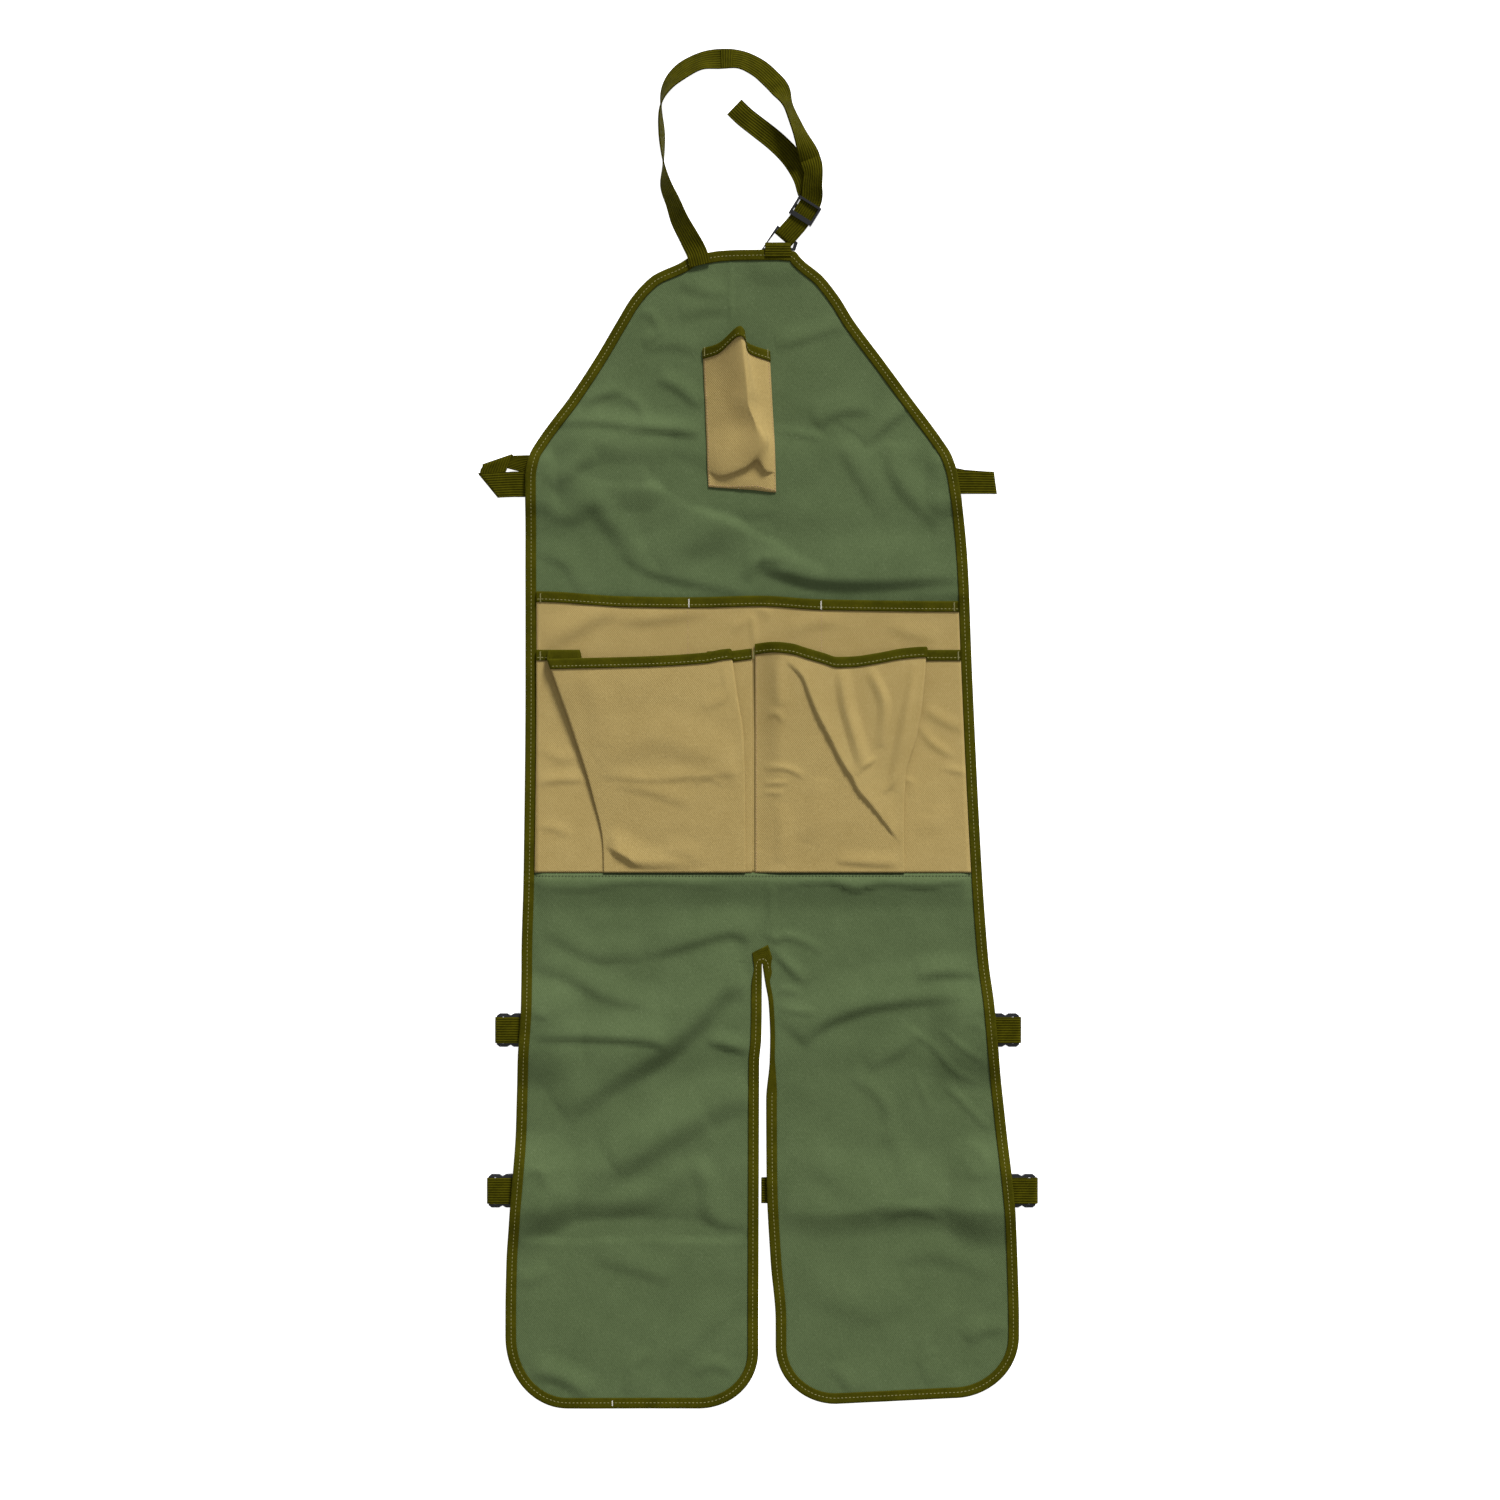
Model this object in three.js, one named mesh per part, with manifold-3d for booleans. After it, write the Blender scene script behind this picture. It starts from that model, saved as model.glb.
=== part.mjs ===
// A split-leg gardening apron with pockets, lying flat on its back.
// Millimetres, +X to the right as seen from above, +Y towards the bib, +Z up off the surface.
import * as THREE from 'three';
import { mergeVertices } from 'three/addons/utils/BufferGeometryUtils.js';
import Module from 'manifold-3d';

const wasm = await Module();
wasm.setup();

// Cloth, tape and webbing
const CLOTH = 1;
const TAPE = 1;
const TAPE_WIDTH = 9;
const WEBBING = 1.5;
const GAP = 0.3;
const NECK_WIDTH = 20;
const WAIST_WIDTH = 25;
const LEG_WIDTH = 25;

// The body, measured down from the middle of the bib's top edge
const BODY_LENGTH = 1110;
const HALF_WIDTH = 240;
const GRID_STEP = 27;
const EDGE_BAND = 44;
const DRAPE_RUN = 36;
const STATION_STEP = 28;

// Pockets
const UPPER_MOUTH = 336;
const LOWER_MOUTH = 388;
const SEAM = 596;
const CENTRE_SEAM = 3;
const CHEST_MOUTH = 100;
const CHEST_HEIGHT = 132;
const CHEST_WIDTH = 68;
const CHEST_CENTRE = -14;
const CHEST_RIDGE = 22;
const POCKET_BULGE = 5;
const CREASE_HEIGHT = 5;

// The neck loop's overall size and its fittings
const LOOP_WIDTH = 156;
const LOOP_HEIGHT = 194;
const RING_WIRE = 2.6;
const RING_TAB_WIDTH = 25;
const RING_TAB_ACROSS = 23.5;
const RING_TAB_FRONT = 10;
const RING_FOOT_ROOM = 1.5;
const SLIDER_BAR = 2.2;
const SLIDER_LENGTH = 20;

// The straps at the waist and legs, with the places of their middles down the body
const WAIST_DOWN = 222;
const WAIST_RISE = 13.5;
const WAIST_BUCKLE_ACROSS = -143;
const LEG_STRAP_DOWNS = { upper: 747, lower: 901 };
const RIGHT_PEEK = { upper: -1, lower: 7 };
const TAB_REACH = 25;
const LAP = 8;
const BUCKLE_THICK = 7;
const BUCKLE_WIDTH = 32;
const SOCKET_LENGTH = 36;
const PLUG_LENGTH = 22;
const BUCKLE_BAR = 3;
const BUCKLE_SLOT = 4;
const BUCKLE_WALL = 1.5;
const PRONG_WIDTH = 6;
const PRONG_LENGTH = 20;
const HOOK_LENGTH = 10;

const GREEN = '#586b49';
const TAN = '#b09a65';
const OLIVE = '#4b4708';
const BLACK = '#15161a';

// Half widths of the body to each side, as shares of HALF_WIDTH, down it as shares of BODY_LENGTH
const SIDES = [
  { down: 0.000, left: 0.246, right: 0.166 },
  { down: 0.009, left: 0.300, right: 0.204 },
  { down: 0.024, left: 0.410, right: 0.278 },
  { down: 0.042, left: 0.486, right: 0.342 },
  { down: 0.059, left: 0.534, right: 0.390 },
  { down: 0.094, left: 0.630, right: 0.510 },
  { down: 0.128, left: 0.734, right: 0.626 },
  { down: 0.163, left: 0.854, right: 0.746 },
  { down: 0.177, left: 0.890, right: 0.786 },
  { down: 0.196, left: 0.906, right: 0.812 },
  { down: 0.267, left: 0.906, right: 0.850 },
  { down: 0.371, left: 0.906, right: 0.870 },
  { down: 0.544, left: 0.914, right: 0.910 },
  { down: 0.613, left: 0.922, right: 0.934 },
  { down: 0.648, left: 0.922, right: 0.954 },
  { down: 0.700, left: 0.936, right: 0.976 },
  { down: 0.769, left: 0.946, right: 1.010 },
  { down: 0.838, left: 0.970, right: 1.042 },
  { down: 0.873, left: 0.982, right: 1.050 },
  { down: 0.925, left: 0.986, right: 1.056 },
];

// Edges of the split between the legs, as shares of the same two sizes
const SPLIT = [
  { down: 0.618, left: 0.028, right: 0.042 },
  { down: 0.632, left: 0.028, right: 0.052 },
  { down: 0.650, left: 0.028, right: 0.066 },
  { down: 0.680, left: 0.026, right: 0.072 },
  { down: 0.700, left: 0.018, right: 0.070 },
  { down: 0.734, left: 0.017, right: 0.056 },
  { down: 0.803, left: 0.016, right: 0.058 },
  { down: 0.873, left: 0.015, right: 0.074 },
  { down: 0.925, left: 0.014, right: 0.094 },
];
const SPLIT_TOP = { down: 0.6145, across: 0.035 };

// Round corners of the hems: the arc's width across and height, and the hem's place down the body
const CORNER_STEPS = 5;
const CORNERS = {
  leftOuter: { wide: 58, high: 67, down: 0.999 },
  leftInner: { wide: 56, high: 53, down: 0.999 },
  rightInner: { wide: 56, high: 54, down: 0.995 },
  rightOuter: { wide: 62, high: 58, down: 0.990 },
};

// Soft ridges pressed into the body, each from one point to another, as shares of its half width and length
const RIDGES = [
  { from: [-0.62, 0.175], to: [-0.24, 0.225], height: 3, reach: 26 },
  { from: [-0.80, 0.285], to: [-0.45, 0.262], height: 4, reach: 28 },
  { from: [0.42, 0.262], to: [0.80, 0.285], height: 4, reach: 28 },
  { from: [-0.90, 0.676], to: [-0.38, 0.687], height: 5, reach: 27 },
  { from: [-0.30, 0.640], to: [-0.72, 0.755], height: 6, reach: 30 },
  { from: [0.38, 0.640], to: [0.86, 0.655], height: 5, reach: 27 },
  { from: [0.30, 0.845], to: [0.62, 0.905], height: 4, reach: 28 },
];

// Small helpers on numbers and tables
const mix = (a, b, t) => a + (b - a) * t;
const clamp01 = (t) => Math.min(Math.max(t, 0), 1);
const smooth = (t) => clamp01(t) ** 2 * (3 - 2 * clamp01(t));

function readTable(rows, key, value, column) {
  if (value <= rows[0][key]) return rows[0][column];
  for (let i = 1; i < rows.length; i++) {
    if (value <= rows[i][key]) {
      const t = (value - rows[i - 1][key]) / (rows[i][key] - rows[i - 1][key]);
      return mix(rows[i - 1][column], rows[i][column], t);
    }
  }
  return rows.at(-1)[column];
}

// Places on the body
const across = (share) => share * HALF_WIDTH;
const downBody = (share) => -share * BODY_LENGTH;
const leftEdge = (y) => -across(readTable(SIDES, 'down', -y / BODY_LENGTH, 'left'));
const rightEdge = (y) => across(readTable(SIDES, 'down', -y / BODY_LENGTH, 'right'));
const splitLeft = (y) => across(readTable(SPLIT, 'down', -y / BODY_LENGTH, 'left'));
const splitRight = (y) => across(readTable(SPLIT, 'down', -y / BODY_LENGTH, 'right'));

// A quarter arc that leaves a leg's edge at a corner and ends on its hem, or the other way round
function cornerArc(edgeX, corner, side, fromEdge) {
  const points = [];
  for (let i = 0; i <= CORNER_STEPS; i++) {
    const turn = (fromEdge ? i : CORNER_STEPS - i) / CORNER_STEPS * Math.PI / 2;
    const x = edgeX + side * corner.wide * (1 - Math.cos(turn));
    const y = downBody(corner.down) + corner.high * (1 - Math.sin(turn));
    points.push([x, y]);
  }
  return points;
}

// The apron's silhouette as one counter-clockwise loop: up its right side, down its left, round each leg
function silhouette() {
  const lowest = downBody(SIDES.at(-1).down);
  const up = [...SIDES].reverse().map((row) => [across(row.right), downBody(row.down)]);
  const down = SIDES.map((row) => [-across(row.left), downBody(row.down)]);
  const splitUp = [...SPLIT].reverse().map((row) => [across(row.left), downBody(row.down)]);
  const splitDown = SPLIT.map((row) => [across(row.right), downBody(row.down)]);
  return [
    ...up,
    ...down,
    ...cornerArc(leftEdge(lowest), CORNERS.leftOuter, 1, true),
    ...cornerArc(splitLeft(lowest), CORNERS.leftInner, -1, false),
    ...splitUp,
    [across(SPLIT_TOP.across), downBody(SPLIT_TOP.down)],
    ...splitDown,
    ...cornerArc(splitRight(lowest), CORNERS.rightInner, 1, true),
    ...cornerArc(rightEdge(lowest), CORNERS.rightOuter, -1, false),
  ];
}

// The same loop with points at most a step apart
function subdivide(loop, step) {
  const points = [];
  loop.forEach((start, i) => {
    const end = loop[(i + 1) % loop.length];
    const count = Math.max(1, Math.ceil(Math.hypot(end[0] - start[0], end[1] - start[1]) / step));
    for (let k = 0; k < count; k++) {
      points.push([mix(start[0], end[0], k / count), mix(start[1], end[1], k / count)]);
    }
  });
  return points;
}

// For each point of a counter-clockwise loop, the vector that moves it one unit into the loop
function inwardVectors(loop) {
  return loop.map((point, i) => {
    const before = loop[(i + loop.length - 1) % loop.length];
    const after = loop[(i + 1) % loop.length];
    const a = new THREE.Vector2(point[0] - before[0], point[1] - before[1]).normalize();
    const b = new THREE.Vector2(after[0] - point[0], after[1] - point[1]).normalize();
    const along = a.clone().add(b).normalize();
    const stretch = 1 / Math.max(0.5, along.dot(a));
    return [-along.y * stretch, along.x * stretch];
  });
}

const moveInto = (point, vector, depth) => [point[0] + vector[0] * depth, point[1] + vector[1] * depth];
const inset = (loop, vectors, depth) => loop.map((point, i) => moveInto(point, vectors[i], depth));

function distanceToSegment(x, y, from, to) {
  const dx = to[0] - from[0];
  const dy = to[1] - from[1];
  const t = clamp01(((x - from[0]) * dx + (y - from[1]) * dy) / (dx * dx + dy * dy || 1));
  return { far: Math.hypot(x - from[0] - dx * t, y - from[1] - dy * t), t };
}

const OUTLINE = silhouette();

function depthInside(x, y) {
  const sides = OUTLINE.map((point, i) => [point, OUTLINE[(i + 1) % OUTLINE.length]]);
  return Math.min(...sides.map(([from, to]) => distanceToSegment(x, y, from, to).far));
}

// Places of the leg straps: which leg, the strap's row, and the leg's two edges there
const LEG_ROWS = Object.entries(LEG_STRAP_DOWNS).map(([row, down]) => ({ row, y: -down }));
const LEG_STRAPS = LEG_ROWS.flatMap(({ row, y }) => [
  { name: `left_leg_${row}`, y, outer: leftEdge(y), inner: splitLeft(y), outwards: -1, peek: -TAPE },
  {
    name: `right_leg_${row}`, y, outer: rightEdge(y), inner: splitRight(y), outwards: 1, peek: RIGHT_PEEK[row],
  },
]);

// Levels of the flat layers, counted up from the surface that the apron lies on
const STRAP_TOP = WEBBING;
const TAB_LEVEL = BUCKLE_THICK + GAP;
const TAB_TOP = TAB_LEVEL + WEBBING;
const BAND_LEVEL = 2 * (WEBBING + GAP);
const BAND_TOP = BAND_LEVEL + WEBBING;
const UNDER_EDGE = TAPE + 2 * GAP;
const EDGE_LIFT = TAPE + GAP;

// What the body is draped over: rectangles in plan, each with the height that the cloth must clear
const under = (xs, y, half, top) => {
  return { x0: Math.min(...xs), x1: Math.max(...xs), y0: y - half, y1: y + half, top };
};

function obstacles() {
  const waistY = -WAIST_DOWN;
  const [left, right] = [leftEdge(waistY), rightEdge(waistY)];
  const pocketMiddle = -(UPPER_MOUTH + SEAM) / 2;
  const pocketHalf = (SEAM - UPPER_MOUTH) / 2 + TAPE_WIDTH;
  const waistBuckle = [WAIST_BUCKLE_ACROSS - SOCKET_LENGTH, WAIST_BUCKLE_ACROSS + PLUG_LENGTH];
  const list = [
    under([leftEdge(-UPPER_MOUTH), rightEdge(-SEAM)], pocketMiddle, pocketHalf, EDGE_LIFT),
    under([left, right], waistY, WAIST_WIDTH, STRAP_TOP + UNDER_EDGE),
    under([left, left + 2 * LAP], waistY, WAIST_WIDTH, BAND_TOP + UNDER_EDGE),
    under([right - 2 * LAP, right], waistY, WAIST_WIDTH, BAND_TOP + UNDER_EDGE),
    under(waistBuckle, waistY + WAIST_RISE, BUCKLE_WIDTH / 2, BUCKLE_THICK + GAP),
    under([RING_TAB.x0, RING_TAB.x1], -TAPE_WIDTH, TAPE_WIDTH, STRAP_TOP + UNDER_EDGE),
  ];
  for (const strap of LEG_STRAPS) {
    const buckleEnd = strap.outer - strap.outwards * (SOCKET_LENGTH + PLUG_LENGTH - TAB_REACH);
    list.push(under([strap.outer, buckleEnd], strap.y, BUCKLE_WIDTH / 2, TAB_TOP + UNDER_EDGE));
    list.push(under([strap.outer, strap.inner], strap.y, LEG_WIDTH / 2, STRAP_TOP + UNDER_EDGE));
  }
  return list;
}

const RING_TAB = { x0: RING_TAB_ACROSS - RING_TAB_WIDTH / 2, x1: RING_TAB_ACROSS + RING_TAB_WIDTH / 2 };
const OBSTACLES = obstacles();

function drapeHeight(x, y) {
  const reach = EDGE_BAND + DRAPE_RUN;
  let height = EDGE_LIFT * smooth((reach - depthInside(x, y)) / (reach - EDGE_BAND));
  for (const block of OBSTACLES) {
    const dx = Math.max(block.x0 - x, x - block.x1, 0);
    const dy = Math.max(block.y0 - y, y - block.y1, 0);
    height = Math.max(height, block.top * smooth((reach - Math.hypot(dx, dy)) / (reach - EDGE_BAND)));
  }
  return height;
}

// The ridges fade out towards the band of pockets, where the body lies flat
const LEAST_RIDGE = 0.4;

function ridgeHeight(x, y) {
  const clear = Math.max(y + UPPER_MOUTH, -SEAM - y, 0);
  const fade = smooth(clear / GRID_STEP - 1);
  let height = 0;
  for (const ridge of RIDGES) {
    const from = [across(ridge.from[0]), downBody(ridge.from[1])];
    const to = [across(ridge.to[0]), downBody(ridge.to[1])];
    const { far } = distanceToSegment(x, y, from, to);
    height += ridge.height * Math.exp(-((far / ridge.reach) ** 2));
  }
  return height > LEAST_RIDGE ? height * fade : 0;
}

const spread = (from, to, count) => Array.from({ length: count + 1 }, (_, i) => mix(from, to, i / count));
const evenLines = (low, high, step) => spread(low, high, Math.ceil((high - low) / step));

// The body's underside on a grid, and its height between the grid's points along the same facets
const GRID_X = evenLines(-across(1.02), across(1.09), GRID_STEP);
const GRID_Y = evenLines(downBody(1.01), -downBody(0.01), GRID_STEP);
const GRID_Z = GRID_X.map((x) => GRID_Y.map((y) => drapeHeight(x, y) + ridgeHeight(x, y)));

function gridPlace(lines, value) {
  const share = clamp01((value - lines[0]) / (lines.at(-1) - lines[0])) * (lines.length - 1);
  const cell = Math.min(Math.floor(share), lines.length - 2);
  return [cell, share - cell];
}

function bodyUnderside(x, y) {
  const [i, u] = gridPlace(GRID_X, x);
  const [j, v] = gridPlace(GRID_Y, y);
  const [low, high] = [GRID_Z[i][j], GRID_Z[i + 1][j + 1]];
  const corner = u > v ? GRID_Z[i + 1][j] : GRID_Z[i][j + 1];
  const [first, second] = u > v ? [u, v] : [v, u];
  return low + first * (corner - low) + second * (high - corner);
}

// The highest point of the body's face near a place
function bodyFace(x, y, reach) {
  const steps = [-reach, 0, reach];
  return Math.max(...steps.flatMap((dx) => steps.map((dy) => bodyUnderside(x + dx, y + dy)))) + CLOTH;
}

// Geometry and solids
function indexedGeometry(positions, triangles) {
  const geometry = new THREE.BufferGeometry();
  geometry.setAttribute('position', new THREE.Float32BufferAttribute(positions, 3));
  geometry.setIndex(triangles);
  return geometry;
}

function toSolid(geometry) {
  const bare = geometry.clone();
  bare.deleteAttribute('normal');
  bare.deleteAttribute('uv');
  const merged = mergeVertices(bare, 1e-4);
  const vertProperties = new Float32Array(merged.attributes.position.array);
  const triVerts = new Uint32Array(merged.index.array);
  return new wasm.Manifold(new wasm.Mesh({ numProp: 3, vertProperties, triVerts }));
}

function toGeometry(solid) {
  const mesh = solid.getMesh();
  const geometry = indexedGeometry(Array.from(mesh.vertProperties), Array.from(mesh.triVerts));
  geometry.computeVertexNormals();
  return geometry;
}

// A solid through a row of closed sections with the same number of points each. Its ends are filled in by
// the function given, and where there is none, the last section joins the first
function loft(sections, fillEnd) {
  const size = sections[0].length;
  const positions = sections.flat(2);
  const triangles = [];
  const spans = fillEnd ? sections.length - 1 : sections.length;
  for (let i = 0; i < spans; i++) {
    const a = i * size;
    const b = ((i + 1) % sections.length) * size;
    for (let k = 0; k < size; k++) {
      const next = (k + 1) % size;
      triangles.push(a + k, a + next, b + next, a + k, b + next, b + k);
    }
  }
  if (fillEnd) {
    const last = (sections.length - 1) * size;
    for (const [p, q, r] of fillEnd(sections[0])) triangles.push(p, r, q);
    for (const [p, q, r] of fillEnd(sections.at(-1))) triangles.push(last + p, last + q, last + r);
  }
  const solid = toSolid(indexedGeometry(positions, triangles));
  return solid.volume() < 0 ? toSolid(indexedGeometry(positions, triangles.reverse())) : solid;
}

// The end of a thin sheet: each point of its underside faces one of its upper side
function sheetEnd(section) {
  const last = section.length - 1;
  const spans = Array.from({ length: section.length / 2 - 1 }, (_, k) => k);
  return spans.flatMap((k) => [[k, k + 1, last - k - 1], [k, last - k - 1, last - k]]);
}

// The end of a solid with a flat section
function flatEnd(section) {
  const points = section.map((p) => new THREE.Vector3(...p));
  const normal = new THREE.Vector3();
  points.forEach((p, i) => normal.add(p.clone().cross(points[(i + 1) % points.length])));
  normal.normalize();
  const sideways = Math.abs(normal.z) > 0.9 ? new THREE.Vector3(1, 0, 0) : new THREE.Vector3(0, 0, 1);
  const u = sideways.clone().cross(normal).normalize();
  const v = normal.clone().cross(u);
  const flat = points.map((p) => new THREE.Vector2(p.dot(u), p.dot(v)));
  return THREE.ShapeUtils.triangulateShape(flat, []);
}

// A plate of a plan outline between two levels
function plate(outline, low, high) {
  const shape = new THREE.Shape(outline.map((p) => new THREE.Vector2(...p)));
  const geometry = new THREE.ExtrudeGeometry(shape, { depth: high - low, bevelEnabled: false });
  geometry.translate(0, 0, low);
  return toSolid(geometry);
}

const rectangle = (x0, y0, x1, y1) => [[x0, y0], [x1, y0], [x1, y1], [x0, y1]];
const block = (x0, y0, z0, x1, y1, z1) => {
  return plate(rectangle(Math.min(x0, x1), y0, Math.max(x0, x1), y1), z0, z1);
};

// An x-z section, drawn as points, that runs from one y to another
function runAlongY(section, y0, y1) {
  return loft([y0, y1].map((y) => section.map(([x, z]) => [x, y, z])), flatEnd);
}

const group = new THREE.Group();

function addPiece(name, solid, colour, roughness, metalness = 0) {
  const material = new THREE.MeshStandardMaterial({ color: colour, roughness, metalness });
  const mesh = new THREE.Mesh(toGeometry(solid), material);
  mesh.name = name;
  group.add(mesh);
}

// The body: one draped sheet cut to the outline, a tape's thickness inside the silhouette
function bodyPanel() {
  const positions = [];
  const triangles = [];
  const columns = GRID_Y.length;
  const layer = GRID_X.length * columns;
  for (const rise of [0, CLOTH]) {
    GRID_X.forEach((x, i) => GRID_Y.forEach((y, j) => positions.push(x, y, GRID_Z[i][j] + rise)));
  }
  const quad = (a, b, c, d) => triangles.push(a, b, c, a, c, d);
  for (let i = 0; i < GRID_X.length - 1; i++) {
    for (let j = 0; j < columns - 1; j++) {
      const [p, q] = [i * columns + j, (i + 1) * columns + j];
      const [r, s] = [q + 1, p + 1];
      quad(layer + p, layer + q, layer + r, layer + s);
      triangles.push(p, r, q, p, s, r);
    }
  }
  const rim = [];
  for (let i = 0; i < GRID_X.length - 1; i++) rim.push(i * columns);
  for (let j = 0; j < columns - 1; j++) rim.push((GRID_X.length - 1) * columns + j);
  for (let i = GRID_X.length - 1; i > 0; i--) rim.push(i * columns + columns - 1);
  for (let j = columns - 1; j > 0; j--) rim.push(j);
  rim.forEach((a, k) => {
    const b = rim[(k + 1) % rim.length];
    quad(a, b, layer + b, layer + a);
  });
  const sheet = toSolid(indexedGeometry(positions, triangles));
  const cut = inset(OUTLINE, inwardVectors(OUTLINE), TAPE + GAP);
  const highest = Math.max(...GRID_Z.flat()) + 2 * CLOTH;
  return sheet.intersect(plate(cut, -CLOTH, highest));
}

// Where the body's height is read between two stations of the binding
const EDGE_SAMPLES = [0, 0.2, 0.4, 0.6, 0.8, 1];

// The binding: a U-shaped tape round the whole edge, its legs clear of the body above and below
function edgeBinding() {
  const loop = subdivide(OUTLINE, STATION_STEP);
  const vectors = inwardVectors(loop);
  const depths = [0, TAPE + GAP, TAPE_WIDTH / 2, TAPE_WIDTH];
  const count = loop.length;
  const levelsAfter = loop.map((p, i) => EDGE_SAMPLES.flatMap((t) => depths.map((depth) => {
    const [next, turn] = [loop[(i + 1) % count], vectors[(i + 1) % count]];
    const x = mix(p[0] + vectors[i][0] * depth, next[0] + turn[0] * depth, t);
    const y = mix(p[1] + vectors[i][1] * depth, next[1] + turn[1] * depth, t);
    return bodyUnderside(x, y);
  })));
  const sections = loop.map((p, i) => {
    const near = [...levelsAfter[i], ...levelsAfter[(i + count - 1) % count]];
    const back = Math.min(...near) - GAP;
    const front = Math.max(...near) + CLOTH + GAP;
    const profile = [
      [0, back - TAPE], [TAPE_WIDTH, back - TAPE], [TAPE_WIDTH, back], [TAPE, back],
      [TAPE, front], [TAPE_WIDTH, front], [TAPE_WIDTH, front + TAPE], [0, front + TAPE],
    ];
    return profile.map(([depth, z]) => [...moveInto(p, vectors[i], depth), z]);
  });
  return loft(sections);
}

// A tape folded over a sheet's mouth: the sheet made thicker, less the sheet with a gap round it
function mouthTape(sheet) {
  const outer = sheet({ half: CLOTH / 2 + GAP + TAPE, start: -GAP - TAPE, stop: TAPE_WIDTH, over: 0 });
  const inner = sheet({ half: CLOTH / 2 + GAP, start: -GAP, stop: TAPE_WIDTH + 1, over: 1 });
  return outer.subtract(inner);
}

const TAPE_ROOM = TAPE + GAP;
const FACE_REACH = GRID_STEP / 2;

// Rows from a mouth down to a seam, or to the edge of a tape over the mouth
function mouthRows(height, cut, below) {
  const start = cut.start ?? 0;
  const stop = cut.stop ?? height;
  const rows = [-GAP, 0, TAPE_WIDTH / 2, TAPE_WIDTH, TAPE_WIDTH + 1, ...below];
  return [start, ...rows.filter((down) => down > start && down < stop), stop];
}

const evenRows = (height, count) => spread(TAPE_WIDTH, height, count).slice(1);

// Moves a section's end point outwards along its own slope
function lengthen(end, next, over) {
  const rate = (end.z - next.z) / Math.abs(end.x - next.x);
  end.z += rate * over;
  end.x += Math.sign(end.x - next.x) * over;
}

// Points of a thin sheet's section: its underside from left to right, then its face back
function sheetSection(columns, { half, over }) {
  lengthen(columns[0], columns[1], over);
  lengthen(columns.at(-1), columns.at(-2), over);
  const under = columns.map(({ x, y, z, slope = 0 }) => [x, y, z - half * Math.hypot(1, slope)]);
  const face = columns.map(({ x, y, z, slope = 0 }) => [x, y, z + half * Math.hypot(1, slope)]);
  return [...under, ...face.reverse()];
}

const WHOLE_SHEET = { half: CLOTH / 2, over: 0 };

// The upper pocket: one flat sheet from side to side, with a soft crease at its middle
const UPPER_COLUMNS = [0, 0.17, 0.36, 0.42, 0.475, 0.51, 0.545, 0.60, 0.67, 0.83, 1];
const UPPER_CREASE = { at: 0.51, reach: 0.05 };
const UPPER_SHOWN = LOWER_MOUTH - UPPER_MOUTH - TAPE_WIDTH;

function upperPocket(cut) {
  const height = SEAM - UPPER_MOUTH;
  const rows = mouthRows(height, cut, [UPPER_SHOWN / 2, UPPER_SHOWN]).map((down) => {
    const y = -UPPER_MOUTH - down;
    const side = TAPE_WIDTH + GAP;
    const [x0, x1] = [leftEdge(y) + side, rightEdge(y) - side];
    const room = TAPE_ROOM * smooth((UPPER_SHOWN - down) / (UPPER_SHOWN - TAPE_WIDTH - 1));
    const fade = smooth((UPPER_SHOWN - down) / (UPPER_SHOWN - TAPE_WIDTH));
    const columns = UPPER_COLUMNS.map((share) => {
      const x = mix(x0, x1, share);
      const crease = CREASE_HEIGHT * smooth(1 - Math.abs(share - UPPER_CREASE.at) / UPPER_CREASE.reach);
      return { x, y, z: bodyFace(x, y, FACE_REACH) + GAP + CLOTH / 2 + room + crease * fade };
    });
    return sheetSection(columns, cut);
  });
  return loft(rows, sheetEnd);
}

// The lower pockets hang from their mouths in deep side pleats: each side's fold lines down the pocket,
// as shares of the pocket's width, and the swell of its front
const LEFT_POCKET = {
  swell: 1,
  leftPleat: [
    { t: 0.00, fold: 0.064, inner: 0.175 },
    { t: 0.17, fold: 0.119, inner: 0.225 },
    { t: 0.37, fold: 0.186, inner: 0.289 },
    { t: 0.62, fold: 0.262, inner: 0.365 },
    { t: 0.88, fold: 0.317, inner: 0.427 },
    { t: 1.00, fold: 0.320, inner: 0.430 },
  ],
  rightPleat: [
    { t: 0.00, fold: 0.885, inner: 0.800 },
    { t: 0.17, fold: 0.912, inner: 0.840 },
    { t: 0.37, fold: 0.945, inner: 0.885 },
    { t: 0.62, fold: 0.955, inner: 0.915 },
    { t: 1.00, fold: 0.960, inner: 0.920 },
  ],
  ridge: { from: [0.45, 1.00], to: [0.30, 0.86], height: 2, reach: 0.12 },
};
const RIGHT_POCKET = {
  swell: 1.2,
  leftPleat: null,
  rightPleat: [
    { t: 0.00, fold: 0.824, inner: 0.700 },
    { t: 0.17, fold: 0.803, inner: 0.685 },
    { t: 0.37, fold: 0.765, inner: 0.650 },
    { t: 0.55, fold: 0.710, inner: 0.595 },
    { t: 0.75, fold: 0.695, inner: 0.580 },
    { t: 1.00, fold: 0.690, inner: 0.570 },
  ],
  ridge: { from: [0.22, 0.02], to: [0.66, 0.80], height: 7, reach: 0.13 },
};
const FRONT_COLUMNS = 7;

// Where each feature of a lower pocket's front has come in or died out, as shares of its height or width
const POCKET_RUNS = { swellFades: 0.4, frontMeetsSeam: 0.1, ridgeStarts: 0.15, frontMeetsSide: 0.2 };

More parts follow.
